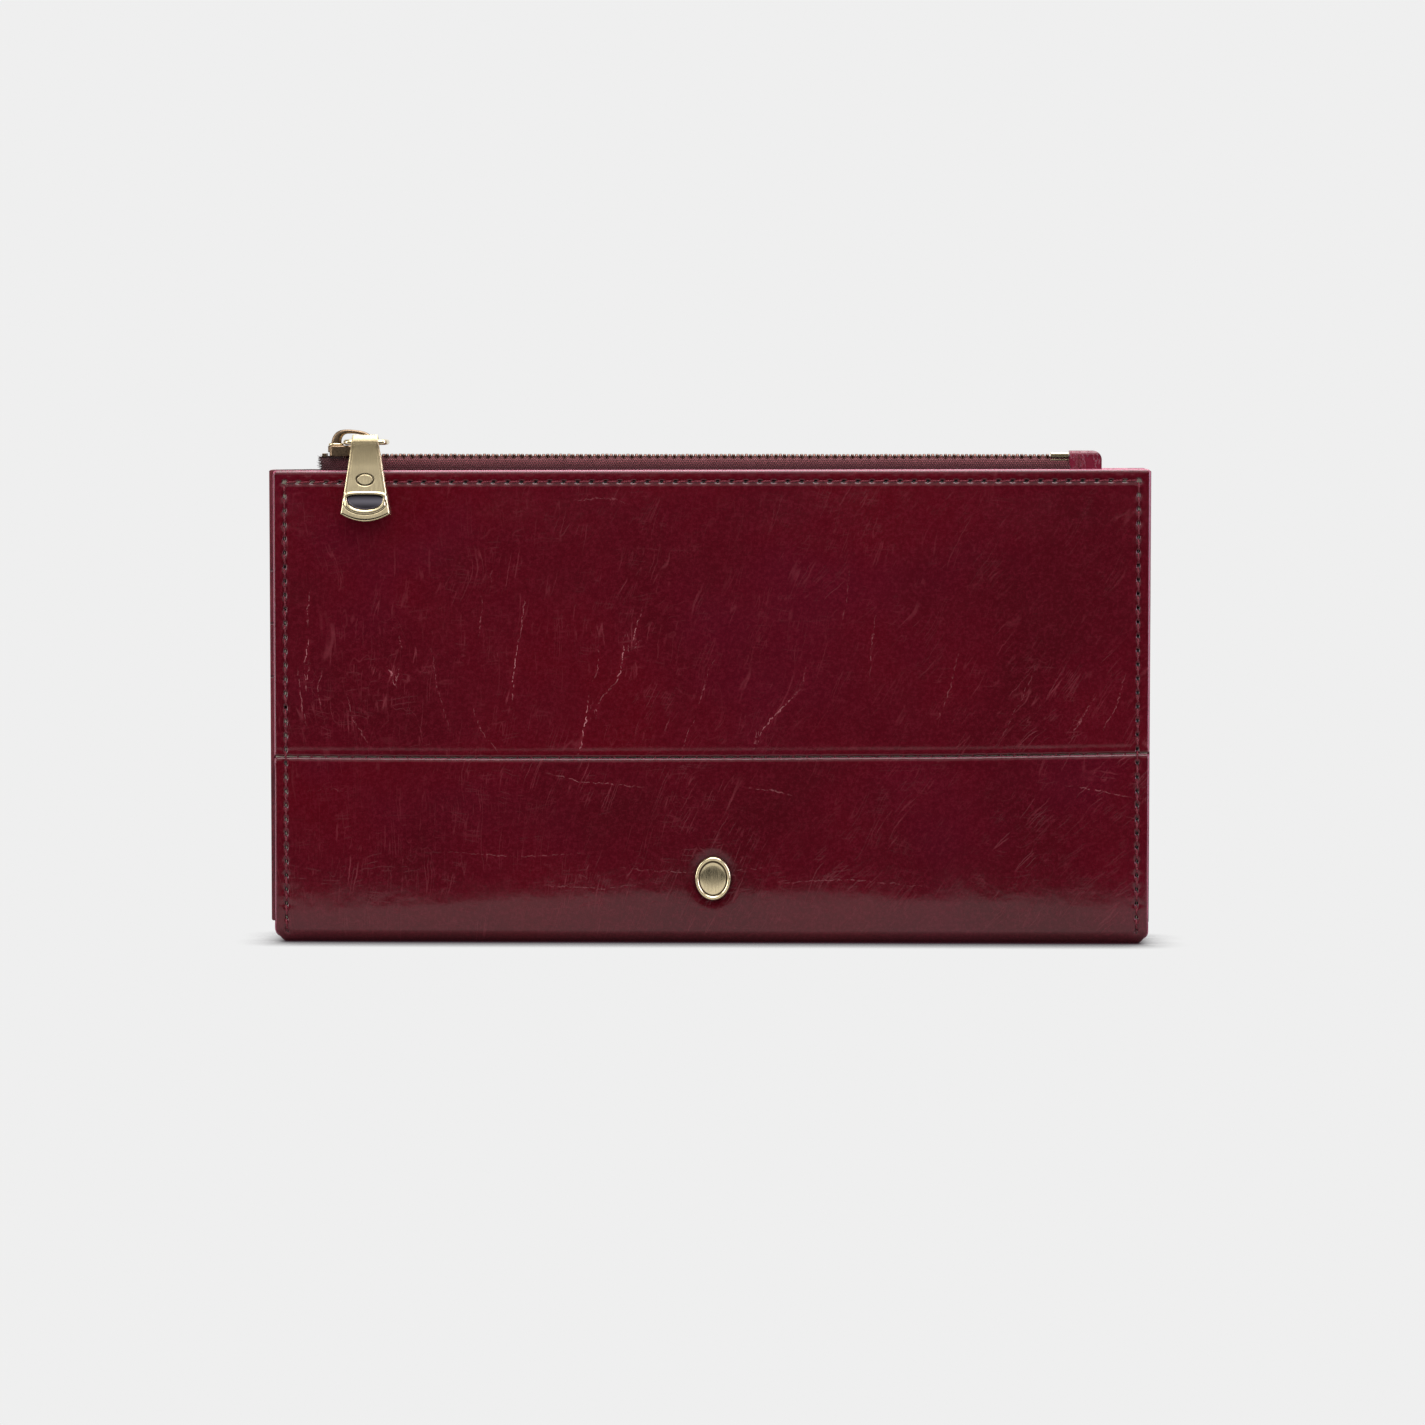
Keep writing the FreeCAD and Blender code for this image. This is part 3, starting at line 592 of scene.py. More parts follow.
def brass_material(name, light, dark, mottle=0.35, rough=(0.22, 0.36), axis=(1.0, 1.0, 0.05)):
    """Antiqued plating: vertical brushing, darker in hollows and along thin lines, partly patina and partly painted
    shade, with painted shade on undersides.
    """
    m = Mat(name)
    c = m.obj()
    streak = m.noise(m.scale(c, axis), 4.0, 2.0, 0.5)
    blot = m.noise(c, 0.55, 4.0, 0.6, 0.4)
    patina_and_shade = m.attr("patina_and_shade")
    col = m.mix(m.remap(streak, 0.3, 0.7, 0.0, 0.4), rgb(*light), rgb(*[int(v * 0.88) for v in light]))
    col = m.mix(m.remap(blot, 0.45, 0.8, 0.0, mottle), col, rgb(*dark))
    # darker by the patina-and-shade attribute: patina in hollows, painted shade on undersides, in corners and where
    # parts meet
    col = m.mix(m.remap(patina_and_shade, 0.0, 1.0), col, rgb(*dark))
    satin = m.attr("satin")
    # painted reflection: a lighter band across the window's floor
    slate = m.mix(m.attr("reflection_band"), rgb(56, 52, 58), rgb(132, 128, 138))
    col = m.mix(m.attr("slate"), col, slate)
    h = m.math("ADD", m.math("MULTIPLY", streak, 0.5), m.math("MULTIPLY", blot, 0.3))
    r = m.math("ADD", m.remap(streak, 0.3, 0.7, rough[0], rough[1]), m.math("MULTIPLY", patina_and_shade, 0.2))
    r = m.math("ADD", r, m.math("MULTIPLY", satin, 0.34))
    m.set(Base_Color=m.mix(m.math("MULTIPLY", satin, 0.35), col, rgb(176, 160, 122)), Roughness=r, Normal=m.bump(h, 0.06, 0.00004))
    m.b.inputs["Metallic"].default_value = 1.0
    return m.m


def tape_material():
    """Woven zip tape: fine diagonal twill with lighter fibres."""
    m = Mat("zip_tape")
    c = m.attr("tc", True)
    s = m.sep(c)
    u, v = s[0], s[1]
    row = m.math("FLOOR", m.math("MULTIPLY", v, 2.3))
    ph = m.math("ADD", m.math("MULTIPLY", u, 1.9), m.math("MULTIPLY", row, 0.5))
    a = m.math("ABSOLUTE", m.math("SUBTRACT", m.math("FRACT", ph), 0.5))
    b = m.math("ABSOLUTE", m.math("SUBTRACT", m.math("FRACT", m.math("MULTIPLY", v, 2.3)), 0.5))
    bead = m.math("MULTIPLY", m.remap(a, 0.12, 0.5, 1.0, 0.0), m.remap(b, 0.15, 0.5, 1.0, 0.0))
    fib = m.noise(m.scale(c, (1.0, 2.4, 1.0)), 5.5, 3.0, 0.7)
    blot = m.noise(c, 0.3, 2.0, 0.5)
    col = m.mix(bead, rgb(32, 8, 12), rgb(112, 46, 52))
    col = m.mix(m.remap(fib, 0.45, 0.8, 0.0, 0.55), col, rgb(126, 64, 66))
    col = m.mix(m.remap(blot, 0.3, 0.7, 0.0, 0.25), col, rgb(78, 28, 34))
    zz = m.sep(m.obj())
    # painted shade: the tape darker towards its lower part, where it curves away from the light
    col = m.mix(m.remap(zz[2], 106.9, 108.7, 0.6, 0.0), col, rgb(52, 18, 24))
    col = m.mix(m.remap(zz[0], -87.2, -80.0, 0.75, 0.0), col, rgb(44, 16, 20))
    h = m.math("ADD", bead, m.math("MULTIPLY", fib, 0.5))
    m.set(Base_Color=col, Roughness=0.78, Normal=m.bump(h, 0.8, 0.00014))
    m.b.inputs["Sheen Weight"].default_value = 0.12
    m.b.inputs["Sheen Roughness"].default_value = 0.5
    m.b.inputs["Specular IOR Level"].default_value = 0.2
    return m.m


def lining_material():
    """Thin woven lining, dark wine, plain weave."""
    m = Mat("lining_fabric")
    c = m.obj()
    s = m.sep(c)
    wx = m.math("SINE", m.math("MULTIPLY", s[0], 9.0))
    wz = m.math("SINE", m.math("MULTIPLY", m.math("ADD", s[2], s[1]), 9.0))
    w = m.math("MULTIPLY", m.math("ADD", m.math("MULTIPLY", wx, wz), 1.0), 0.5)
    fib = m.noise(m.scale(c, (0.6, 1, 3.0)), 2.2, 3.0, 0.6)
    blot = m.noise(c, 0.05, 3.0, 0.6)
    col = m.mix(w, rgb(46, 16, 22), rgb(78, 30, 38))
    col = m.mix(m.remap(fib, 0.4, 0.75, 0.0, 0.4), col, rgb(104, 52, 58))
    col = m.mix(m.remap(blot, 0.4, 0.7, 0.0, 0.3), col, rgb(40, 12, 18))
    m.set(Base_Color=col, Roughness=0.7, Normal=m.bump(m.math("ADD", w, m.math("MULTIPLY", fib, 0.5)), 0.5, 0.0001))
    m.b.inputs["Sheen Weight"].default_value = 0.3
    return m.m


def board_material():
    m = Mat("board")
    c = m.obj()
    fib = m.noise(m.scale(c, (0.3, 1, 1.0)), 1.6, 4.0, 0.7, 0.3)
    spk = m.noise(c, 3.5, 2.0, 0.5)
    col = m.mix(m.remap(fib, 0.3, 0.7), rgb(120, 112, 100), rgb(150, 142, 128))
    col = m.mix(m.remap(spk, 0.6, 0.75, 0.0, 0.6), col, rgb(84, 76, 66))
    m.set(Base_Color=col, Roughness=0.88, Normal=m.bump(fib, 0.4, 0.0001))
    return m.m


M_LEA = leather_material()
M_INN = inner_leather_material()
M_TABL = tab_leather_material()
M_THR = thread_material()
M_THR_IN = thread_material("thread_inner", (66, 24, 30), (98, 44, 50))
M_BRASS = brass_material("antique_brass", (230, 212, 172), (66, 52, 40), 0.10, (0.18, 0.25))
M_DARK = brass_material("dark_brass", (134, 112, 90), (46, 34, 28), 0.6, (0.26, 0.42), (1, 1, 1))
M_TOOTH = brass_material("tooth_brass", (112, 84, 74), (52, 34, 32), 0.6, (0.32, 0.46), (1, 1, 1))
M_SNAP = brass_material("snap_metal", (196, 186, 160), (90, 80, 64), 0.35, (0.2, 0.34), (1, 1, 1))
M_TAPE = tape_material()
M_LIN = lining_material()
M_BRD = board_material()


# ------------------------------------------------------------------ leather panels
def rings(loop_xz, normals, y0, insets, ys):
    """Rings that carry a border loop round the edge towards the inside."""
    out = []
    for ins, y in zip(insets, ys):
        p = np.zeros((len(loop_xz), 3))
        p[:, 0] = loop_xz[:, 0] - normals[:, 0] * ins
        p[:, 2] = loop_xz[:, 1] - normals[:, 1] * ins
        p[:, 1] = y
        out.append(p)
    return out


def upper_panel(name, side):
    """Upper leather of a cover; side -1 is the front, +1 the rear."""
    seed = 3 if side < 0 else 17
    r = 0.85
    ro = round_offsets(r, 6)
    rc = 0.95
    xs_p = [-XW + d for d in ro] + [XW - d for d in ro] + columns()
    xs_e = [-STX + PX * (k + f) for k in range(-1, 62) for f in (0, 0.13, 0.26, 0.5, 0.74, 0.87)]
    xs_e = [v for v in xs_e if abs(v) < XW - r - 0.1]
    U = lines(xs_p, xs_e, 0.13)
    zt, zb = 106.62, 42.0
    rs = 0.45
    rob = round_offsets(rs, 6)
    zp = [zt - d for d in ro] + [zb + d for d in rob] + [104.0 + d for d in (-1.7, -1.25, -0.9, -0.6, -0.36, -0.16, 0, 0.16, 0.36, 0.6, 0.9, 1.25)]
    V = lines(zp, stitch_lines(zb + rs + 0.1, zt - r - 0.1, 104.0), 0.13)
    X, Z = np.meshgrid(U, V, indexing="ij")
    # rounded top corners: the square corner is mapped to a quarter disc
    for s in (-1, 1):
        c = (X * s > XW - rc) & (Z > zt - rc)
        a = (X[c] * s - (XW - rc)) / rc
        b = (Z[c] - (zt - rc)) / rc
        X[c] = s * (XW - rc + rc * a * np.sqrt(1 - b * b / 2))
        Z[c] = zt - rc + rc * b * np.sqrt(1 - a * a / 2)
    d = np.minimum(XW - np.abs(X), zt - Z)
    for s in (-1, 1):
        c = (X * s > XW - rc) & (Z > zt - rc)
        rad = np.hypot((X[c] * s - (XW - rc)), (Z[c] - (zt - rc)))
        d[c] = np.minimum(d[c], rc - rad)
    d = np.maximum(d, 0)
    db = Z - zb
    # real heights: the seam and the top edge both run a little out of level
    t = (Z - zb) / (zt - zb)
    Zr = (z_seam(X) + seam_gap(X)) * (1 - t) + z_top(X) * t
    fall = drop(d, r)
    fb = drop(db, rs) * (1.0 - 0.0 * X)
    off = np.minimum(fall + fb, 1.05)
    rel = stitch_relief(X, Zr) * (d > r * 0.6)
    bel = belly(X, Zr, seed)
    depth = bel + off + rel
    depth += 0.10 * np.exp(-((db - 1.0) / 0.9) ** 2) * -1 * (db > 0.3)
    y = YF + depth
    # painted shade: the stitch holes are coloured near-black
    hole = np.clip(rel - 0.17, 0, None) / 0.32
    # edge colour weight: cut edges (edge paint, partly painted highlight); the seam's lower roll at a quarter share,
    # as painted reflection
    edge = np.clip(np.maximum(1 - d / r, (1 - db / rs) * 0.25), 0, 1)
    nu, nv = X.shape
    verts = np.stack([X, y, Zr], -1).reshape(-1, 3)
    faces = [grid(nu, nv)]
    # border loop: left side down, bottom, right side up, top back
    idx = np.arange(nu * nv).reshape(nu, nv)
    loop = np.concatenate([idx[0, ::-1], idx[1:, 0], idx[-1, 1:], idx[-2:0:-1, -1]])
    lx = np.stack([X.ravel()[loop], Zr.ravel()[loop]], -1)
    nxt, prv = np.roll(lx, -1, 0), np.roll(lx, 1, 0)
    tan = nxt - prv
    nrm = np.stack([tan[:, 1], -tan[:, 0]], -1)
    nrm /= np.linalg.norm(nrm, axis=1)[:, None] + 1e-9
    # outward is away from the middle
    if ((lx - [0, 74]) * nrm).sum() < 0:
        nrm = -nrm
    low = (np.abs(lx[:, 1] - (z_seam(lx[:, 0]) + seam_gap(lx[:, 0]))) < 0.02)
    ysl = [-6.50, -6.24, -6.15, -6.15, -7.05]
    ins = [0.0, 0.09, 0.24, 0.28, 0.28]
    all_v = [verts]
    base = nu * nv
    prev = loop
    nl = len(loop)
    attr_x, attr_z = [X.ravel()], [Zr.ravel()]
    for k, (yy, ii) in enumerate(zip(ysl, ins)):
        yv = np.where(low, min(yy, -7.05) if yy > -7.05 else yy, yy)
        yv = np.where(low, -7.05, yv)
        iv = np.where(low, 0.02 * (k + 1), ii)
        p = np.zeros((nl, 3))
        p[:, 0] = lx[:, 0] - nrm[:, 0] * iv
        p[:, 2] = lx[:, 1] - nrm[:, 1] * iv
        p[:, 1] = yv
        all_v.append(p)
        attr_x.append(p[:, 0]), attr_z.append(p[:, 2])
        cur = base + np.arange(nl)
        faces.append(np.stack([prev, np.roll(prev, -1), np.roll(cur, -1), cur], -1))
        prev = cur
        base += nl
    V3 = np.concatenate(all_v)
    ax, az = np.concatenate(attr_x), np.concatenate(attr_z)
    ex = np.ones(len(ax) - nu * nv)
    at = leather_attrs(ax, az + (0 if side < 0 else 260), az, side < 0, np.concatenate([edge.ravel(), ex]), np.concatenate([hole.ravel(), ex * 0]), seed)
    allf = [tuple(f) for f in np.concatenate(faces)]
    allf.append(tuple(prev))
    if side > 0:
        V3[:, 1] *= -1
        allf = [f[::-1] for f in allf]
    o = make(name, V3, allf, M_LEA, at)
    return o


def dish(x, z):
    """Extra fall-back of the covers just above the fold."""
    top = 6.2 + 6.2 * np.exp(-((x / 75.0) ** 2)) + 0.008 * x
    return 0.42 * np.clip((top - z) / top, 0, 1) ** 1.5


def lower_leather(part):
    """The leather from the front seam, under the fold and up to the rear seam, in two halves
    that meet along the middle of the underside."""
    r = 0.85
    rs = 0.42
    ro = round_offsets(r, 6)
    rob = round_offsets(rs, 6)
    U = lines([-XW + d for d in ro] + [XW - d for d in ro] + columns(), [v for v in np.arange(-93.0 - 3.1, 97.4, 3.1 / 4)], 0.14)
    # path parameter: q 0..39 down the front (z = 42 - q), then fold, underside, fold, up the rear
    FR = 3.0
    arc = math.pi / 2 * FR
    q1, q2, q3, q4 = 39.0, 39.0 + arc, 39.0 + arc + 10.5, 39.0 + 2 * arc + 10.5
    q5 = q4 + 39.0
    zl = stitch_lines(3.2, 42 - rs - 0.1, 104.0)
    up = sorted(42.0 - v for v in zl)
    Q = lines(
        list(rob) + [q1, q2, q3, q4] + [q5 - v for v in rob],
        up + list(q1 + np.linspace(0, arc, 11)[1:-1]) + list(np.linspace(q2, q3, 9)[1:-1])
        + list(q3 + np.linspace(0, arc, 11)[1:-1]) + [q5 - v for v in up],
        0.13,
    )
    qm = (q2 + q3) / 2
    Q = np.array(Q)
    Q = np.concatenate([Q[Q < qm - 0.1], [qm]]) if part == "front" else np.concatenate([[qm], Q[Q > qm + 0.1]])
    X, S = np.meshgrid(U, Q, indexing="ij")
    front = np.full(S.shape, part == "front")
    a1 = np.clip((S - q1) / FR, 0, math.pi / 2)
    a2 = np.clip((S - q3) / FR, 0, math.pi / 2)
    P_y = np.where(S <= q1, YF, np.where(S <= q2, YF + FR - FR * np.cos(a1), np.where(S <= q3, YF + FR + (S - q2), np.where(S <= q4, YB - FR + FR * np.sin(a2), YB))))
    P_z = np.where(S <= q1, 42 - S, np.where(S <= q2, FR - FR * np.sin(a1), np.where(S <= q3, 0.0, np.where(S <= q4, FR - FR * np.cos(a2), 3 + (S - q4)))))
    n_y = np.where(S <= q1, -1.0, np.where(S <= q2, -np.cos(a1), np.where(S <= q3, 0.0, np.where(S <= q4, np.sin(a2), 1.0))))
    n_z = np.where(S <= q1, 0.0, np.where(S <= q2, -np.sin(a1), np.where(S <= q3, -1.0, np.where(S <= q4, -np.cos(a2), 0.0))))
    # seam heights run out of level on both covers
    t = np.clip((P_z - 3) / 39.0, 0, 1)
    zs = z_seam(X) - seam_gap(X)
    P_z = P_z + t * (zs - 42.0)
    d = np.maximum(XW - np.abs(X), 0)
    # the folded ends draw in a little, which rounds the lower corners
    rr = np.where(X < 0, 3.6, 3.1)
    zz = np.clip(P_z + (1 - t) * 0.15, 0, None)
    pull = 2.3 * (1 - np.sqrt(np.maximum(1 - (np.clip(rr - zz, 0, rr) / rr) ** 2, 0.0)))
    Xr = X * (1 - pull / XW * sm((np.abs(X) - 60) / 38.0))
    dseam = np.where(front, S, q5 - S)
    off = np.minimum(drop(d, r) + drop(dseam, rs), 1.05)
    rel = stitch_relief(X, P_z) * (d > r * 0.6)
    bel = np.where(front, belly(X, P_z, 3), belly(X, P_z, 17))
    # the front leans in towards the fold, and the underside sits flat on the table
    bel = (bel + dish(X, P_z)) * np.abs(n_y) ** 1.4
    roll = 0.06 * smooth_noise(X, P_z * 0.3, 29, 45) * (1 - np.abs(n_z)) * sm(P_z / 5)
    crown = -0.12 * np.exp(-(((dseam - 1.1) / 0.9) ** 2)) * (dseam > 0.3)
    depth = bel + off + rel + np.clip(roll, 0, 1) + crown
    # a soft seat round the badge
    bx, bz = (X - 0.56) / 5.2, (P_z - 14.8) / 6.1
    depth = depth + np.where(front, 0.22 * np.exp(-((np.hypot(bx, bz)) ** 6)), 0.0)
    # painted shadow: a dark ring round the badge, sent through the hole attribute
    ring = np.where(front, 0.34 * np.exp(-(((np.hypot(bx, bz) - 0.78) / 0.2) ** 2)), 0.0)
    Y = P_y - n_y * depth
    Z = P_z - n_z * depth
    # painted shade: near-black stitch holes plus the badge's painted shadow ring
    hole = np.clip(rel - 0.17, 0, None) / 0.32 + ring
    # edge colour weight: cut edges (edge paint, partly painted highlight); the seam's upper roll at nearly full share,
    # as painted highlight
    edge = np.clip(np.maximum(1 - d / r, (1 - dseam / rs) * 0.9), 0, 1)
    nu, nv = X.shape
    outer = np.stack([Xr, Y, Z], -1)
    thick = 1.2
    inner = np.stack([Xr, P_y - n_y * thick, P_z - n_z * thick], -1)
    idx = np.arange(nu * nv).reshape(nu, nv)
    loop = np.concatenate([idx[0, ::-1], idx[1:, 0], idx[-1, 1:], idx[-2:0:-1, -1]])
    verts = [outer.reshape(-1, 3)]
    faces = [grid(nu, nv, flip=False)]
    base = nu * nv
    flatX, flatn_y, flatn_z = Xr.ravel(), n_y.ravel(), n_z.ravel()
    py, pz = P_y.ravel()[loop], P_z.ravel()[loop]
    ny, nz = flatn_y[loop], flatn_z[loop]
    onside = (np.abs(X.ravel()[loop]) > XW - 1e-6).astype(float)
    lip = sm((pz - 4.0) / 3.0) * onside
    sx = np.sign(flatX[loop])
    prev = loop
    nl = len(loop)
    cols = [loop]
    for dep_lip, dep_no, ins in ((1.75, 0.95, 0.0), (2.02, 1.12, 0.09), (2.10, 1.2, 0.24), (2.10, 1.2, 0.28), (1.2, 1.2, 0.28)):
        dep = dep_no + (dep_lip - dep_no) * lip
        dep = np.maximum(dep, 0)
        p = np.zeros((nl, 3))
        p[:, 0] = flatX[loop] - sx * ins * onside
        p[:, 1] = py - ny * dep
        p[:, 2] = pz - nz * dep
        verts.append(p)
        cur = base + np.arange(nl)
        faces.append(np.stack([prev, np.roll(prev, -1), np.roll(cur, -1), cur], -1))
        prev = cur
        base += nl
        cols.append(cur)
    # inner skin
    inn = inner.copy()
    inn[0, :, 0] += 0.28
    inn[-1, :, 0] -= 0.28
    verts.append(inn.reshape(-1, 3))
    iloop = base + loop
    faces.append(np.stack([prev, np.roll(prev, -1), np.roll(iloop, -1), iloop], -1))
    faces.append(grid(nu, nv, base, flip=True))
    V3 = np.concatenate(verts)
    F = np.concatenate(faces)
    n0 = nu * nv
    S_all = np.concatenate([S.ravel()] + [S.ravel()[loop]] * 5 + [S.ravel()])
    e_all = np.concatenate([edge.ravel(), np.ones(nl * 5), np.zeros(n0)])
    h_all = np.concatenate([hole.ravel(), np.zeros(nl * 5), np.zeros(n0)])
    fr_all = np.concatenate([front.ravel()] + [front.ravel()[loop]] * 5 + [front.ravel()])
    sd, st = vein_field(V3[:, 0], V3[:, 2])
    st = np.where(fr_all & (V3[:, 1] < -4), st, 0.0)
    fl = flow(V3[:, 0], V3[:, 2])
    fl[:, 0] += np.where(fr_all, 0, 400.0)
    at = {
        "lc": np.stack([V3[:, 0], 42 - S_all, np.full(len(V3), 71.0)], -1),
        "fl": fl, "vd": sd, "vs": st, "edge": e_all, "hole": h_all,
        "cz": np.where(fr_all, crease_zone(V3[:, 0], V3[:, 2], True), 0.75),
    }
    return make("leather_lower_" + part, V3, [tuple(f) for f in F], M_LEA, at)


# ------------------------------------------------------------------ threads
def tubes(P, R, up, sides=8, turns=2.0, lobes=0.16):
    """Twisted two-ply tubes along many short paths at once. P is (count, points, 3)."""
    P = np.asarray(P, float)
    cnt, n, _ = P.shape
    T = np.gradient(P, axis=1)
    T /= np.linalg.norm(T, axis=2, keepdims=True)
    up = np.asarray(up, float)
    B = np.cross(T, np.broadcast_to(up, T.shape))
    B /= np.linalg.norm(B, axis=2, keepdims=True)
    A = np.cross(B, T)
    th = np.linspace(0, 2 * np.pi, sides, endpoint=False)
    s = np.linspace(0, 1, n)
    R = np.broadcast_to(np.asarray(R, float), (n,))
    rad = R[:, None] * (1 + lobes * np.cos(2 * th[None, :] - 2 * np.pi * turns * s[:, None]))
    pts = P[:, :, None, :] + A[:, :, None, :] * (rad * np.cos(th))[None, :, :, None] + B[:, :, None, :] * (rad * np.sin(th))[None, :, :, None]
    verts = pts.reshape(-1, 3)
    one = [tuple(f) for f in grid(n, sides, wrap_v=True, flip=True)]
    one.append(tuple(range(sides)))
    one.append(tuple(range((n - 1) * sides, n * sides))[::-1])
    faces = []
    for c in range(cnt):
        o = c * n * sides
        faces += [tuple(i + o for i in f) for f in one]
    return verts, faces


def surf_y(x, z, seed):
    """Depth of the covers' outer face, positive towards the inside."""
    c = np.clip((3.0 - z) / 3.0, 0, 1)
    return (belly(x, z, seed) + dish(x, z)) * np.sqrt(1 - c * c) ** 1.4


def perimeter_thread(name, side, body, node):
    seed = 3 if side < 0 else 17
    n = 11
    u = np.linspace(0, 1, n)
    t = 0.14 + 0.72 * u
    h = -0.46 + 0.60 * np.sin(np.pi * u) ** 0.5
    g = np.random.default_rng(5 if side < 0 else 6)
    P = []
    for k in range(61):
        x = -STX + PX * (k + t)
        sl = 0.13 + g.uniform(-0.05, 0.05)
        z = z_row(x) + sl * (t - 0.5) * 2
        P.append(np.stack([x, YF + surf_y(x, z, seed) + 0.13 - h, z], -1))
    for s in (-1, 1):
        zr = z_row(s * STX)
        k = 0
        while zr - (k + 1) * PZ > (1.6 if side < 0 else 4.2):
            z = zr - PZ * (k + t)
            sl = 0.11 + g.uniform(-0.05, 0.05)
            x = s * STX + sl * (t - 0.5) * 2
            fold = np.where(z < 3, 3.0 - np.sqrt(np.maximum(9 - (3 - z) ** 2, 0)), 0.0)
            P.append(np.stack([x, YF + surf_y(x, z, seed) + 0.13 + fold - h, z], -1))
            k += 1
    P = np.array(P)
    v, f = tubes(P, 0.215, (0, -1, 0), 8, 1.6)
    if side > 0:
        v = v * [1, -1, 1]
        f = [q[::-1] for q in f]
    o = make(name, v, f, M_THR)
    return place(o, body, "thread", node)


def seam_ticks(name, side, body, node):
    n = 9
    t = np.linspace(-1, 1, n)
    P = []
    seed = 3 if side < 0 else 17
    g = np.random.default_rng(8)
    for k in range(61):
        x0 = -93.0 + 3.1 * k
        z = z_seam(x0) + 0.62 * t
        x = np.full(n, x0) + g.uniform(-0.08, 0.08) + g.uniform(-0.06, 0.1) * t
        y = YF + surf_y(x, z, seed) + 0.16 + 0.5 * t ** 4 + 0.12 * (1 - np.abs(t))
        P.append(np.stack([x, y, z], -1))
    v, f = tubes(np.array(P), 0.19, (0, -1, 0), 7, 0.8)
    if side > 0:
        v = v * [1, -1, 1]
        f = [q[::-1] for q in f]
    o = make(name, v, f, M_THR_IN)
    return place(o, body, "thread", node)


up_f = upper_panel("leather_upper_front", -1)
place(up_f, "front_half", "outer_leather", "front_upper_leather")
up_b = upper_panel("leather_upper_rear", 1)
place(up_b, "back_cover", "outer_leather", "back_upper_leather")
low = lower_leather("front")
place(low, "front_half", "outer_leather", "lower_leather_wrap")
low = lower_leather("rear")
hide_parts("back_lower_leather")
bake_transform(low)
perimeter_thread("stitches_front", -1, "front_half", "front_perimeter_thread")
perimeter_thread("stitches_rear", 1, "back_cover", "back_perimeter_thread")
seam_ticks("seam_stitches_front", -1, "front_half", "front_seam_thread")
seam_ticks("seam_stitches_rear", 1, "back_cover", "back_seam_thread")


# ------------------------------------------------------------------ zip
def zip_tape(name, side, node):
    """Tape with a woven face: upright, then turned over towards the chain, ending in a bead."""
    cl = [(-5.95, 102.6), (-5.95, 104.2), (-5.95, 105.6), (-5.95, 106.6), (-5.94, 107.3), (-5.86, 107.9), (-5.68, 108.45), (-5.42, 108.85), (-5.12, 109.08), (-4.86, 109.17)]
    if side > 0:
        cl = [(-7.6 - y, z) for y, z in cl]
    cl = np.array(cl)
    tan = np.gradient(cl, axis=0)
    tan /= np.linalg.norm(tan, axis=1)[:, None]
    nr = np.stack([-tan[:, 1], tan[:, 0]], -1)
    hw = 0.19
    a = cl + nr * hw
    b = cl - nr * hw
    bead_c = np.array([ZY + side * 0.9, 109.2])
    th0 = math.atan2(*(a[-1] - bead_c)[::-1])
    th1 = math.atan2(*(b[-1] - bead_c)[::-1])
    # go round the bead the long way
    if side < 0:
        while th1 < th0:
            th1 += 2 * math.pi
        if th1 - th0 < math.pi:
            th0, th1 = th0, th1 - 2 * math.pi
    else:
        while th1 > th0:
            th1 -= 2 * math.pi
        if th0 - th1 < math.pi:
            th1 += 2 * math.pi
    ths = np.linspace(th0, th1, 12)[1:-1]
    arc = np.stack([bead_c[0] + 0.44 * np.cos(ths), bead_c[1] + 0.44 * np.sin(ths)], -1)
    prof = np.concatenate([a, arc, b[::-1]])
    xs = np.arange(-87.5, 80.75, 0.7)
    g = np.random.default_rng(21 if side < 0 else 22)
    nu, nv = len(xs), len(prof)
    X = np.repeat(xs[:, None], nv, 1)
    X[0] += g.uniform(-0.2, 0.25, nv)
    X[-1] += g.uniform(-0.1, 0.1, nv)
    wave = 0.05 * np.sin(xs * 0.35) + 0.03 * np.sin(xs * 1.13 + 1)
    Yv = np.repeat(prof[None, :, 0], nu, 0) + wave[:, None] * sm((109.3 - prof[:, 1]) / 1.5)[None, :] * sm((prof[:, 1] - 105) / 2)[None, :]
    Zv = np.repeat(prof[None, :, 1], nu, 0)
    verts = np.stack([X, Yv, Zv], -1).reshape(-1, 3)
    arcl = np.concatenate([[0], np.cumsum(np.linalg.norm(np.diff(prof, axis=0), axis=1))])
    tc = np.stack([X, np.repeat(arcl[None, :], nu, 0), np.full_like(X, 3.0 + side)], -1).reshape(-1, 3)
    faces = [tuple(f) for f in grid(nu, nv, wrap_v=True)]
    faces += [tuple(range(nv)), tuple(range((nu - 1) * nv, nu * nv))[::-1]]
    # loose fibres at the cut end
    P = []
    for _ in range(90):
        j = g.integers(0, len(cl))
        y0, z0 = cl[j] + g.uniform(-0.15, 0.15, 2)
        ln = g.uniform(0.5, 1.7)
        t = np.linspace(0, 1, 6)
        P.append(np.stack([-86.9 - ln * t, y0 + g.uniform(-0.5, 0.3) * t ** 2, z0 + g.uniform(-0.45, 0.6) * t ** 2], -1))
    v2, f2 = tubes(np.array(P), np.linspace(0.07, 0.03, 6), (0, 0.3, 1), 5, 0, 0)
    off = len(verts)
    tc2 = v2.copy()
    o = make(name, np.concatenate([verts, v2]), faces + [tuple(i + off for i in f) for f in f2], M_TAPE, {"tc": np.concatenate([tc, tc2])})
    return place(o, "front_half", "zip_tape", node)


zip_tape("tape_front", -1, "zip_tape_front")
zip_tape("tape_rear", 1, "zip_tape_rear")


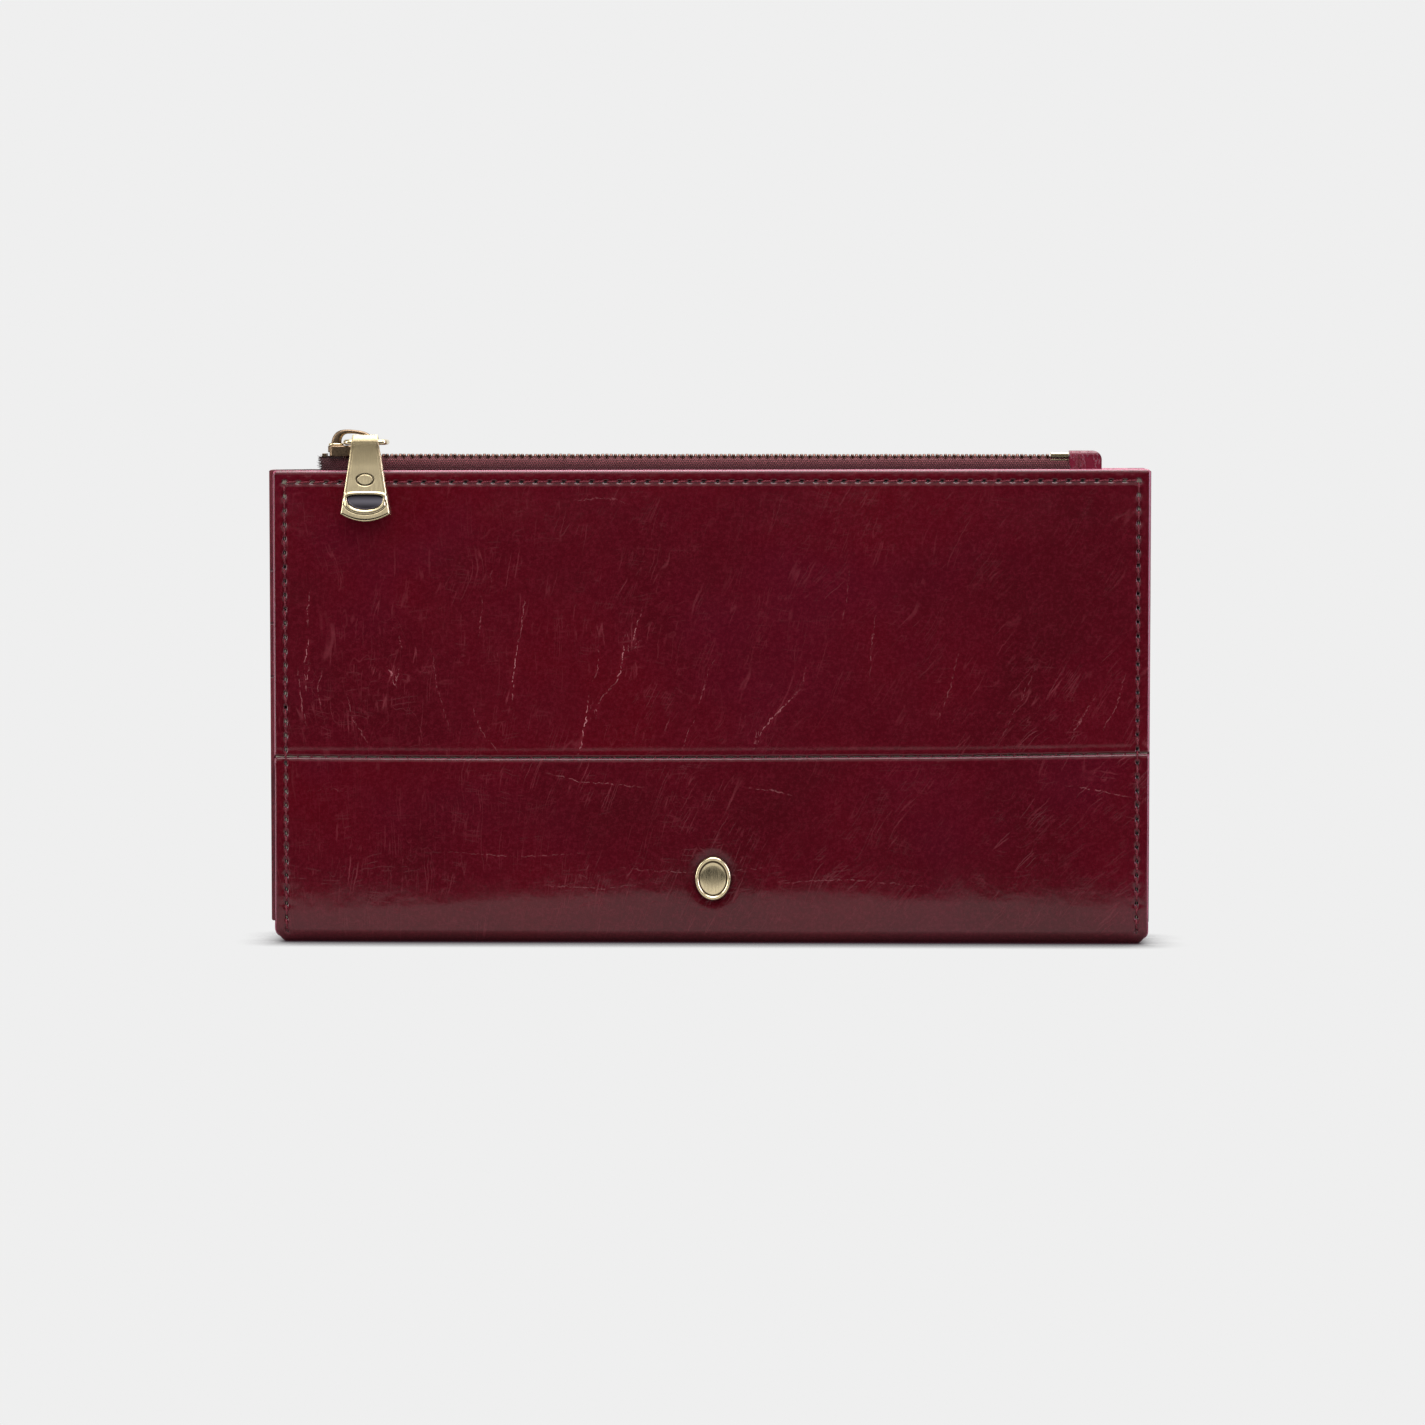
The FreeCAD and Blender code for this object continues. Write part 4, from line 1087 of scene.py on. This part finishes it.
def tooth_block(side):
    """One metal tooth: a wide rounded base over the bead, a neck and a rounded head."""
    # plan profile (distance from the tape side towards the other row, half width)
    st = [(-1.62, 0.26, 0.62), (-1.5, 0.38, 0.80), (-1.0, 0.42, 0.90), (-0.55, 0.42, 0.92), (-0.35, 0.36, 0.90), (-0.1, 0.30, 0.86), (0.12, 0.36, 0.86), (0.34, 0.40, 0.80), (0.50, 0.30, 0.62), (0.56, 0.14, 0.4)]
    zc = (108.3 + 110.15) / 2
    sec = 12
    th = np.linspace(0, 2 * np.pi, sec, endpoint=False) + np.pi / sec
    V = []
    for y, hx, hz in st:
        cx = np.sign(np.cos(th)) * np.abs(np.cos(th)) ** 0.45 * hx
        cz = np.sign(np.sin(th)) * np.abs(np.sin(th)) ** 0.45 * hz
        V.append(np.stack([cx, np.full(sec, y), zc + cz], -1))
    V = np.array(V)
    V[:, :, 1] = ZY + (V[:, :, 1] if side < 0 else -V[:, :, 1])
    F = [tuple(f) for f in grid(len(st), sec, wrap_v=True, flip=(side < 0))]
    a, b = tuple(range(sec)), tuple(range((len(st) - 1) * sec, len(st) * sec))
    F += [a if side < 0 else a[::-1], b[::-1] if side < 0 else b]
    return V.reshape(-1, 3), F


def tooth_row(name, side, count, x0, node):
    v, f = tooth_block(side)
    V, F = [], []
    g = np.random.default_rng(31 + side)
    for k in range(count):
        w = v.copy()
        w[:, 0] += x0 + 1.9 * k + g.uniform(-0.04, 0.04)
        w[:, 2] += g.uniform(-0.05, 0.05)
        F += [tuple(i + len(V) * len(v) for i in q) for q in f]
        V.append(w)
    V = np.concatenate(V)
    # painted shade: the teeth darker towards the bottom
    patina_and_shade = np.clip((109.0 - V[:, 2]) / 0.6, 0, 0.7)
    o = make(name, V, F, M_TOOTH, {"patina_and_shade": patina_and_shade})
    return place(o, "front_half", "dark_brass", node)


tooth_row("teeth_front", -1, 84, -82.3, "zip_teeth_front")
tooth_row("teeth_rear", 1, 83, -82.3 + 0.95, "zip_teeth_rear")


# ------------------------------------------------------------------ pull
TILT = math.radians(5.0)
PULL_X, LINK_Y0, LINK_Z = -77.3, -8.8, 112.75


def to_pull(p):
    """Local pull points (origin on the front bar, hanging down -Z) to the frame."""
    c, s = math.cos(-TILT), math.sin(-TILT)
    q = p.copy()
    q[:, 1] = p[:, 1] * c - p[:, 2] * s
    q[:, 2] = p[:, 1] * s + p[:, 2] * c
    return q + [PULL_X, LINK_Y0, LINK_Z]


def window_sd(x, z):
    """Signed distance to the window's outline: flat top, bowl-shaped bottom."""
    zt0 = -12.75
    def rho(x, z):
        up = (np.abs(x / 4.0) ** 3.2 + np.abs((z - zt0) / 0.95) ** 3.2) ** (1 / 3.2)
        dn = (np.abs(x / 4.0) ** 2.1 + np.abs((z - zt0) / 2.35) ** 2.1) ** (1 / 2.1)
        return np.where(z > zt0, up, dn)
    e = 0.02
    r0 = rho(x, z)
    gx = (rho(x + e, z) - rho(x - e, z)) / (2 * e)
    gz = (rho(x, z + e) - rho(x, z - e)) / (2 * e)
    return (r0 - 1) / np.maximum(np.hypot(gx, gz), 0.15)


def pull_mesh():
    """Plate hanging from the rolled eye: tapered, rounded edges, a blind window with a lip."""
    ro = list(np.array(round_offsets(0.085, 5))[:-1])
    us = np.concatenate([[-1 + d for d in ro], np.linspace(-0.915, 0.915, 87), [1 - d for d in ro[::-1]]])
    za = 1.72 * np.sin(np.radians(np.linspace(70, 0, 12)))
    tz = np.concatenate([np.linspace(0, 0.962, 160), 0.962 + 0.038 * np.sin(np.linspace(0, math.pi / 2, 7))[1:]])
    zl = np.concatenate([za[:-1], -16.05 * tz])
    T = np.concatenate([np.zeros(11), tz])
    U, Zl = np.meshgrid(us, zl, indexing="ij")
    T = np.repeat(T[None, :], len(us), 0)
    Z = Zl - 1.70 * (1 - U * U) * sm((T - 0.78) / 0.22)
    w = 2.80 + 2.70 * np.clip((1.7 - Z) / 17.75, 0, 1)
    X = U * w
    d_side = (1 - np.abs(U)) * w
    d_bot = (1 - T) * 16.0
    y_front = np.where(Z > 0, -np.sqrt(np.maximum(1.74 ** 2 - Z ** 2, 0.01)), -0.75 - 0.99 * (1 - np.clip(-Z / 5.5, 0, 1)) ** 2)
    dd = np.minimum(d_side, d_bot)
    fall = drop(dd, 0.42)
    sd = window_sd(X, Z)
    below = sm((-13.3 - Z) / 1.6)
    lip_w = 0.34 + 0.34 * below
    lip = 0.24 * np.exp(-(((sd - lip_w) / (0.27 + 0.22 * below)) ** 4))
    groove = 0.22 * np.exp(-(((sd - 1.10) / 0.13) ** 2)) * below
    well = 0.95 * sm((0.10 - sd) / 0.26)
    ridge = 0.07 * np.exp(-(((d_side - 0.62) / 0.13) ** 2)) * sm((-Z - 1.2) / 1.5) * (1 - below)
    # a small plain oval line pressed in above the window
    ov = np.hypot(X / 1.9, (Z + 8.5) / 1.3)
    ring = 0.12 * np.exp(-(((ov - 1.0) / 0.085) ** 2))
    y = y_front - lip + groove + well + ring + ridge + fall
    # painted shade under the top corners, where the link enters the eye
    corner = sm((np.abs(U) - 0.45) / 0.4) * np.exp(-(((Z + 0.9) / 1.0) ** 2))
    # window, groove, pressed oval and side ridges darker, partly patina and partly painted shade, plus the painted
    # corner shade
    patina_and_shade = np.clip(sm((0.16 - sd) / 0.2) * (1 - 0.3 * sm((-0.5 - sd) / 0.5)) + groove / 0.22 * 0.9 + ring / 0.10 + ridge / 0.07 * 0.35 + 0.55 * corner, 0, 1)
    slate = sm((0.02 - sd) / 0.2)
    # painted reflection band across the window floor
    reflection_band = slate * np.exp(-(((Z + 13.2) / 0.85) ** 2))
    front = np.stack([X, y, Z], -1)
    back_y = -1.05 + 1.80 * sm((-Z - 1.3) / 1.7) - drop(dd, 0.3)
    back = np.stack([X, np.maximum(back_y, y + 0.15), Z], -1)
    n = len(us) * len(zl)
    V = np.concatenate([front.reshape(-1, 3), back.reshape(-1, 3)])
    C = np.concatenate([patina_and_shade.ravel(), np.zeros(n)])
    S = np.concatenate([slate.ravel(), np.zeros(n)])
    B = np.concatenate([reflection_band.ravel(), np.zeros(n)])
    F = [grid(len(us), len(zl), 0, flip=True), grid(len(us), len(zl), n, flip=False)]
    idx = np.arange(n).reshape(len(us), len(zl))
    loop = np.concatenate([idx[0, :], idx[1:, -1], idx[-1, -2::-1], idx[-2:0:-1, 0]])
    F.append(np.stack([loop, np.roll(loop, -1), np.roll(loop, -1) + n, loop + n], -1))
    faces = [tuple(f) for f in np.concatenate(F)]
    # rolled eye round the bar
    sec = 48
    th = np.linspace(0, 2 * np.pi, sec, endpoint=False)
    prof = [(-2.85, 0.68), (-2.85, 1.35), (-2.74, 1.58), (-2.5, 1.68), (2.5, 1.68), (2.74, 1.58), (2.85, 1.35), (2.85, 0.68)]
    ev = []
    for x, rr in prof:
        ev.append(np.stack([np.full(sec, x), rr * np.cos(th), rr * np.sin(th)], -1))
    ev = np.array(ev).reshape(-1, 3)
    ef = grid(len(prof), sec, len(V), wrap_u=True, wrap_v=True)
    V = np.concatenate([V, ev])
    # painted shade: the eye darker towards its ends, where the link enters
    C = np.concatenate([C, np.repeat([0.8, 0.5, 0.2, 0, 0, 0.2, 0.5, 0.8], sec)])
    z0 = np.zeros(len(ev))
    faces += [tuple(f) for f in ef]
    return to_pull(V), faces, {"patina_and_shade": C, "slate": np.concatenate([S, z0]), "reflection_band": np.concatenate([B, z0]), "satin": np.clip((V[:, 2] + 8.5) / 5.5, 0, 1)}


pv, pf, pc = pull_mesh()
pull = make("pull_plate", pv, pf, M_BRASS, pc)
place(pull, "zip_pull", "antique_brass", "zip_pull")


# ------------------------------------------------------------------ wire link
def link_mesh():
    x0, x1, y0, y1, rc, r = -81.8, -73.0, -8.8, -2.1, 1.3, 0.6
    pts = []
    for cx, cy, a in ((x1 - rc, y1 - rc, 0), (x0 + rc, y1 - rc, 90), (x0 + rc, y0 + rc, 180), (x1 - rc, y0 + rc, 270)):
        for k in np.linspace(0, 90, 9):
            t = math.radians(a + k)
            pts.append((cx + rc * math.cos(t), cy + rc * math.sin(t), LINK_Z))
    pts = np.array(pts)
    # fill the straight runs
    out = []
    for a, b in zip(pts, np.roll(pts, -1, 0)):
        n = max(1, int(np.linalg.norm(b - a) / 0.5))
        for k in range(n):
            out.append(a + (b - a) * k / n)
    P = np.array(out)
    T = np.roll(P, -1, 0) - np.roll(P, 1, 0)
    T /= np.linalg.norm(T, axis=1)[:, None]
    up = np.array([0, 0, 1.0])
    B = np.cross(T, up)
    th = np.linspace(0, 2 * np.pi, 16, endpoint=False)
    V = P[:, None, :] + r * (np.cos(th)[None, :, None] * up + np.sin(th)[None, :, None] * B[:, None, :])
    F = grid(len(P), 16, wrap_u=True, wrap_v=True)
    return V.reshape(-1, 3), [tuple(f) for f in F]


lv, lf = link_mesh()
# painted shade: the wire darker towards its underside
link = make("wire_link", lv, lf, M_BRASS, {"patina_and_shade": np.clip((112.6 - lv[:, 2]) / 0.8, 0, 0.6)})
place(link, "pull_link", "antique_brass", "pull_link")


# ------------------------------------------------------------------ bridge
def bridge_mesh():
    outer = np.array([(-85.5, 111.6), (-85.5, 112.0), (-85.42, 113.0), (-85.1, 114.0), (-84.5, 114.85), (-83.7, 115.35), (-82.7, 115.6), (-81.3, 115.6), (-79.8, 115.45), (-78.4, 115.2), (-77.4, 114.9), (-76.6, 114.35), (-76.15, 113.6), (-76.0, 112.8), (-76.0, 112.0), (-76.0, 111.6)])
    inner = np.array([(-83.2, 111.6), (-83.2, 112.0), (-83.2, 112.8), (-83.1, 113.5), (-82.8, 114.1), (-82.4, 114.45), (-81.9, 114.62), (-81.0, 114.66), (-79.8, 114.6), (-78.8, 114.45), (-78.1, 114.3), (-77.6, 113.9), (-77.35, 113.35), (-77.3, 112.7), (-77.3, 112.0), (-77.3, 111.6)])
    def dense(a):
        s = np.linspace(0, len(a) - 1, 61)
        i = np.arange(len(a))
        return np.stack([np.interp(s, i, a[:, 0]), np.interp(s, i, a[:, 1])], -1)
    def smooth(a):
        for _ in range(6):
            b = a.copy()
            b[1:-1] = (a[:-2] + 2 * a[1:-1] + a[2:]) / 4
            a = b
        return a
    o2, i2 = smooth(dense(outer)), smooth(dense(inner))
    c = (o2 + i2) / 2
    h = (o2 - i2) / 2
    sec = 16
    th = np.linspace(0, 2 * np.pi, sec, endpoint=False) + np.pi / sec
    ca = np.sign(np.cos(th)) * np.abs(np.cos(th)) ** 0.6
    sa = np.sign(np.sin(th)) * np.abs(np.sin(th)) ** 0.6
    V = np.zeros((61, sec, 3))
    V[:, :, 0] = c[:, None, 0] + h[:, None, 0] * ca
    V[:, :, 2] = c[:, None, 1] + h[:, None, 1] * ca
    V[:, :, 1] = ZY + 0.95 * sa
    F = [tuple(f) for f in grid(61, sec, wrap_v=True)]
    F += [tuple(range(sec)), tuple(range(60 * sec, 61 * sec))[::-1]]
    return V.reshape(-1, 3), F


bv, bf = bridge_mesh()
# painted shade: the arch darker towards its bottom
bridge = make("slider_arch", bv, bf, M_DARK, {"patina_and_shade": np.clip((113.4 - bv[:, 2]) / 1.6, 0, 0.6)})
place(bridge, "slider", "dark_brass", "slider_bridge")


def collar_mesh():
    """Rolled collar where the arch's left foot meets the slider."""
    sec, n = 12, 40
    th = np.linspace(0, 2 * np.pi, sec, endpoint=False)
    V = []
    for a in np.linspace(0, 2 * np.pi, n, endpoint=False):
        c = np.array([-84.35 + 1.42 * np.sign(np.cos(a)) * abs(np.cos(a)) ** 0.8, ZY + 1.25 * np.sign(np.sin(a)) * abs(np.sin(a)) ** 0.8, 112.22])
        d = np.array([np.cos(a), np.sin(a), 0])
        V.append(c + 0.30 * (np.cos(th)[:, None] * d + np.sin(th)[:, None] * np.array([0, 0, 1.0])))
    return np.array(V).reshape(-1, 3), [tuple(f) for f in grid(n, sec, wrap_u=True, wrap_v=True, flip=True)]


cv, cf = collar_mesh()
# painted shade: the collar darker on its underside
collar = make("slider_collar", cv, cf, M_BRASS, {"patina_and_shade": np.clip((112.1 - cv[:, 2]) / 0.4, 0, 0.8)})
place(collar, "slider", "antique_brass")


# ------------------------------------------------------------------ badge
def badge_mesh():
    """Plain oval shield: domed face, raised rim and a rounded outer edge."""
    prof = [(0.0, -0.98), (0.2, -0.975), (0.4, -0.95), (0.58, -0.90), (0.70, -0.83), (0.745, -0.76), (0.775, -0.74), (0.80, -0.80), (0.83, -0.96), (0.865, -1.07), (0.90, -1.10), (0.935, -1.06), (0.965, -0.93), (0.985, -0.74), (1.0, -0.5), (1.0, -0.22), (0.97, -0.02), (0.9, 0.28), (0.5, 0.30), (0.0, 0.30)]
    sec = 72
    th = np.linspace(0, 2 * np.pi, sec, endpoint=False)
    V = [[0.56, YF + 0.12 + prof[0][1], 14.8]]
    C = [0.0]
    for k, y in prof[1:-1]:
        for t in th:
            V.append([0.56 + 4.05 * k * math.cos(t), YF + 0.12 + y, 14.8 + 4.95 * k * math.sin(t)])
            # trough inside the rim darkest, partly patina and partly painted shade; outer edge and back darker as
            # painted shade
            C.append(0.95 if 0.70 < k < 0.82 and y < 0 else (0.6 if k > 0.98 or y > -0.1 else 0.0))
    V.append([0.56, YF + 0.12 + prof[-1][1], 14.8])
    C.append(0.6)
    m = len(prof) - 2
    F = []
    for j in range(sec):
        F.append((0, 1 + j, 1 + (j + 1) % sec))
        F.append((len(V) - 1, 1 + (m - 1) * sec + (j + 1) % sec, 1 + (m - 1) * sec + j))
    for q in grid(m, sec, 1, wrap_v=True):
        F.append(tuple(q))
    return np.array(V), F, np.array(C)


av, af, ac = badge_mesh()
bd = make("badge_shield", av, af, M_BRASS, {"patina_and_shade": ac})
place(bd, "front_half", "antique_brass", "badge")


# ------------------------------------------------------------------ CAD nodes that stay
def finish_node(name, mat, width=0.0, segments=3, angle=32):
    o = N[name]
    o.data.materials.clear()
    o.data.materials.append(mat)
    if width:
        w = o.modifiers.new("weld", "WELD")
        w.merge_threshold = 2e-6
        b = o.modifiers.new("bevel", "BEVEL")
        b.width = width * 0.001
        b.segments = segments
        b.limit_method = "ANGLE"
        b.angle_limit = math.radians(angle)
        b.use_clamp_overlap = True
        b.harden_normals = False
    return o


finish_node("middle_wall_leather", M_INN, 0.3)
finish_node("spine_lining", M_LIN, 0.1, 2)
finish_node("front_board", M_BRD, 0.1, 2)
finish_node("back_board", M_BRD, 0.1, 2)
finish_node("front_pocket_lining", M_LIN, 0.08, 2)
finish_node("rear_pocket_lining", M_LIN, 0.08, 2)
finish_node("back_lining", M_LIN, 0.08, 2)
finish_node("back_card_panel", M_INN, 0.25)
for n in ("mid_card_slot_upper", "mid_card_slot_middle", "mid_card_slot_lower", "back_card_slot_upper", "back_card_slot_middle", "back_card_slot_lower"):
    finish_node(n, M_INN, 0.16)
finish_node("mid_card_divider_thread", M_THR_IN)
finish_node("back_card_divider_thread", M_THR_IN)
finish_node("zip_end_tab", M_TABL, 0.45, 5)
finish_node("zip_end_tab_thread", M_THR)
finish_node("badge_backing", M_SNAP, 0.1, 2)
finish_node("zip_bottom_stop", M_BRASS, 0.2)
finish_node("zip_top_stops", M_DARK, 0.15)
finish_node("slider_body", M_DARK, 0.22)
finish_node("snap_studs", M_SNAP, 0.2)
finish_node("snap_stud_rivets", M_SNAP, 0.1)
finish_node("snap_sockets", M_SNAP, 0.2)


# ------------------------------------------------------------------ stage
def plane(name, pts, mat):
    me = bpy.data.meshes.new(name)
    me.from_pydata(pts, [], [tuple(range(len(pts)))])
    me.materials.append(mat)
    o = bpy.data.objects.new(name, me)
    bpy.context.scene.collection.objects.link(o)
    return o


def floor_material():
    m = Mat("floor_paper")
    t = m.t
    em = m.new("Emission")
    # painted contact shadow: the emitting floor darkens by ambient occlusion
    ao = m.new("AmbientOcclusion", samples=8, only_local=False)
    ao.inputs["Distance"].default_value = 0.010
    shade = m.math("POWER", ao.outputs["AO"], 2.6)
    em_col = m.mix(shade, (0.035, 0.02, 0.028), (0.863, 0.863, 0.863))
    m.put(em.inputs["Color"], em_col)
    em.inputs["Strength"].default_value = 1.0
    t.links.new(em.outputs[0], m.out.inputs[0])
    t.nodes.remove(m.b)
    return m.m


def paper_material():
    m = Mat("backdrop_paper")
    em = m.new("Emission")
    em.inputs["Color"].default_value = (0.863, 0.863, 0.863, 1)
    m.t.links.new(em.outputs[0], m.out.inputs[0])
    m.t.nodes.remove(m.b)
    return m.m


M_FLOOR = floor_material()
M_PAPER = paper_material()
NEAR, SIDE, REAR = -0.105, 0.35, 0.35
plane("floor", [(-SIDE, NEAR, 0), (SIDE, NEAR, 0), (SIDE, REAR, 0), (-SIDE, REAR, 0)], M_FLOOR)
for i, (x0, x1, y0, y1) in enumerate(((-3, -SIDE, NEAR, REAR), (SIDE, 3, NEAR, REAR), (-3, 3, REAR, 2.2))):
    plane("floor_rest_%d" % i, [(x0, y0, 0), (x1, y0, 0), (x1, y1, 0), (x0, y1, 0)], M_PAPER)
far = plane("floor_front", [(-3, -3, 0), (3, -3, 0), (3, NEAR, 0), (-3, NEAR, 0)], M_PAPER)
far.visible_glossy = False
back = plane("backdrop", [(-3, 2.2, -0.05), (3, 2.2, -0.05), (3, 2.2, 2.5), (-3, 2.2, 2.5)], M_PAPER)


def area(name, loc, target, sx, sy, power, color=(1, 1, 1)):
    d = bpy.data.lights.new(name, "AREA")
    d.shape = "RECTANGLE"
    d.size, d.size_y, d.energy, d.color = sx, sy, power, color
    o = bpy.data.objects.new(name, d)
    bpy.context.scene.collection.objects.link(o)
    o.location = loc
    o.rotation_mode = "QUATERNION"
    o.rotation_quaternion = (Vector(target) - Vector(loc)).to_track_quat("-Z", "Y")
    return o


area("top_softbox", (0.12, -0.02, 0.95), (0, 0, 0.05), 1.3, 0.9, 21.5)
area("front_softbox", (-0.25, -1.15, 1.15), (0, 0, 0.05), 1.0, 0.6, 3.0)
area("left_softbox", (-1.0, -0.30, 0.30), (0, 0, 0.05), 0.4, 0.9, 5.5)
area("right_softbox", (1.0, -0.15, 0.30), (0, 0, 0.05), 0.35, 0.8, 7.0, (0.82, 0.76, 1.0))

world = bpy.data.worlds.new("studio")
bpy.context.scene.world = world
world.use_nodes = True
wt = world.node_tree
wt.nodes.clear()
wo = wt.nodes.new("ShaderNodeOutputWorld")
bg = wt.nodes.new("ShaderNodeBackground")
tc = wt.nodes.new("ShaderNodeTexCoord")
sp = wt.nodes.new("ShaderNodeSeparateXYZ")
wt.links.new(tc.outputs["Generated"], sp.inputs[0])


def wmap(sock, a, b, c, d):
    n = wt.nodes.new("ShaderNodeMapRange")
    n.interpolation_type = "SMOOTHSTEP"
    wt.links.new(sock, n.inputs[0])
    for i, k in enumerate((a, b, c, d)):
        n.inputs[i + 1].default_value = k
    return n.outputs[0]


# a pale wall with a dark floor in front, darker sides
rise = wmap(sp.outputs[2], 0.035, 0.13, 0.0, 0.78)
ahead = wmap(sp.outputs[1], 0.1, -0.5, 0.25, 1.0)
mu = wt.nodes.new("ShaderNodeMath")
mu.operation = "MULTIPLY"
wt.links.new(rise, mu.inputs[0])
wt.links.new(ahead, mu.inputs[1])
wt.links.new(mu.outputs[0], bg.inputs["Strength"])
bg.inputs["Color"].default_value = (1, 1, 1, 1)
wt.links.new(bg.outputs[0], wo.inputs[0])

bpy.context.scene.view_settings.view_transform = "Standard"

# ------------------------------------------------------------------ camera
cam_d = bpy.data.cameras.new("camera")
cam = bpy.data.objects.new("camera", cam_d)
bpy.context.scene.collection.objects.link(cam)
D = 1.1
pitch, yaw = math.radians(3.8), math.radians(1.5)
aim = Vector((0.00045, -0.00825, 0.0522))
back_dir = Vector((math.sin(yaw) * math.cos(pitch), -math.cos(yaw) * math.cos(pitch), math.sin(pitch)))
cam.location = aim + back_dir * D
cam.rotation_mode = "QUATERNION"
cam.rotation_quaternion = (-back_dir).to_track_quat("-Z", "Y")
cam_d.sensor_width = 36.0
cam_d.lens = 36.0 * D / 0.31988
cam_d.clip_start, cam_d.clip_end = 0.05, 50
bpy.context.scene.camera = cam
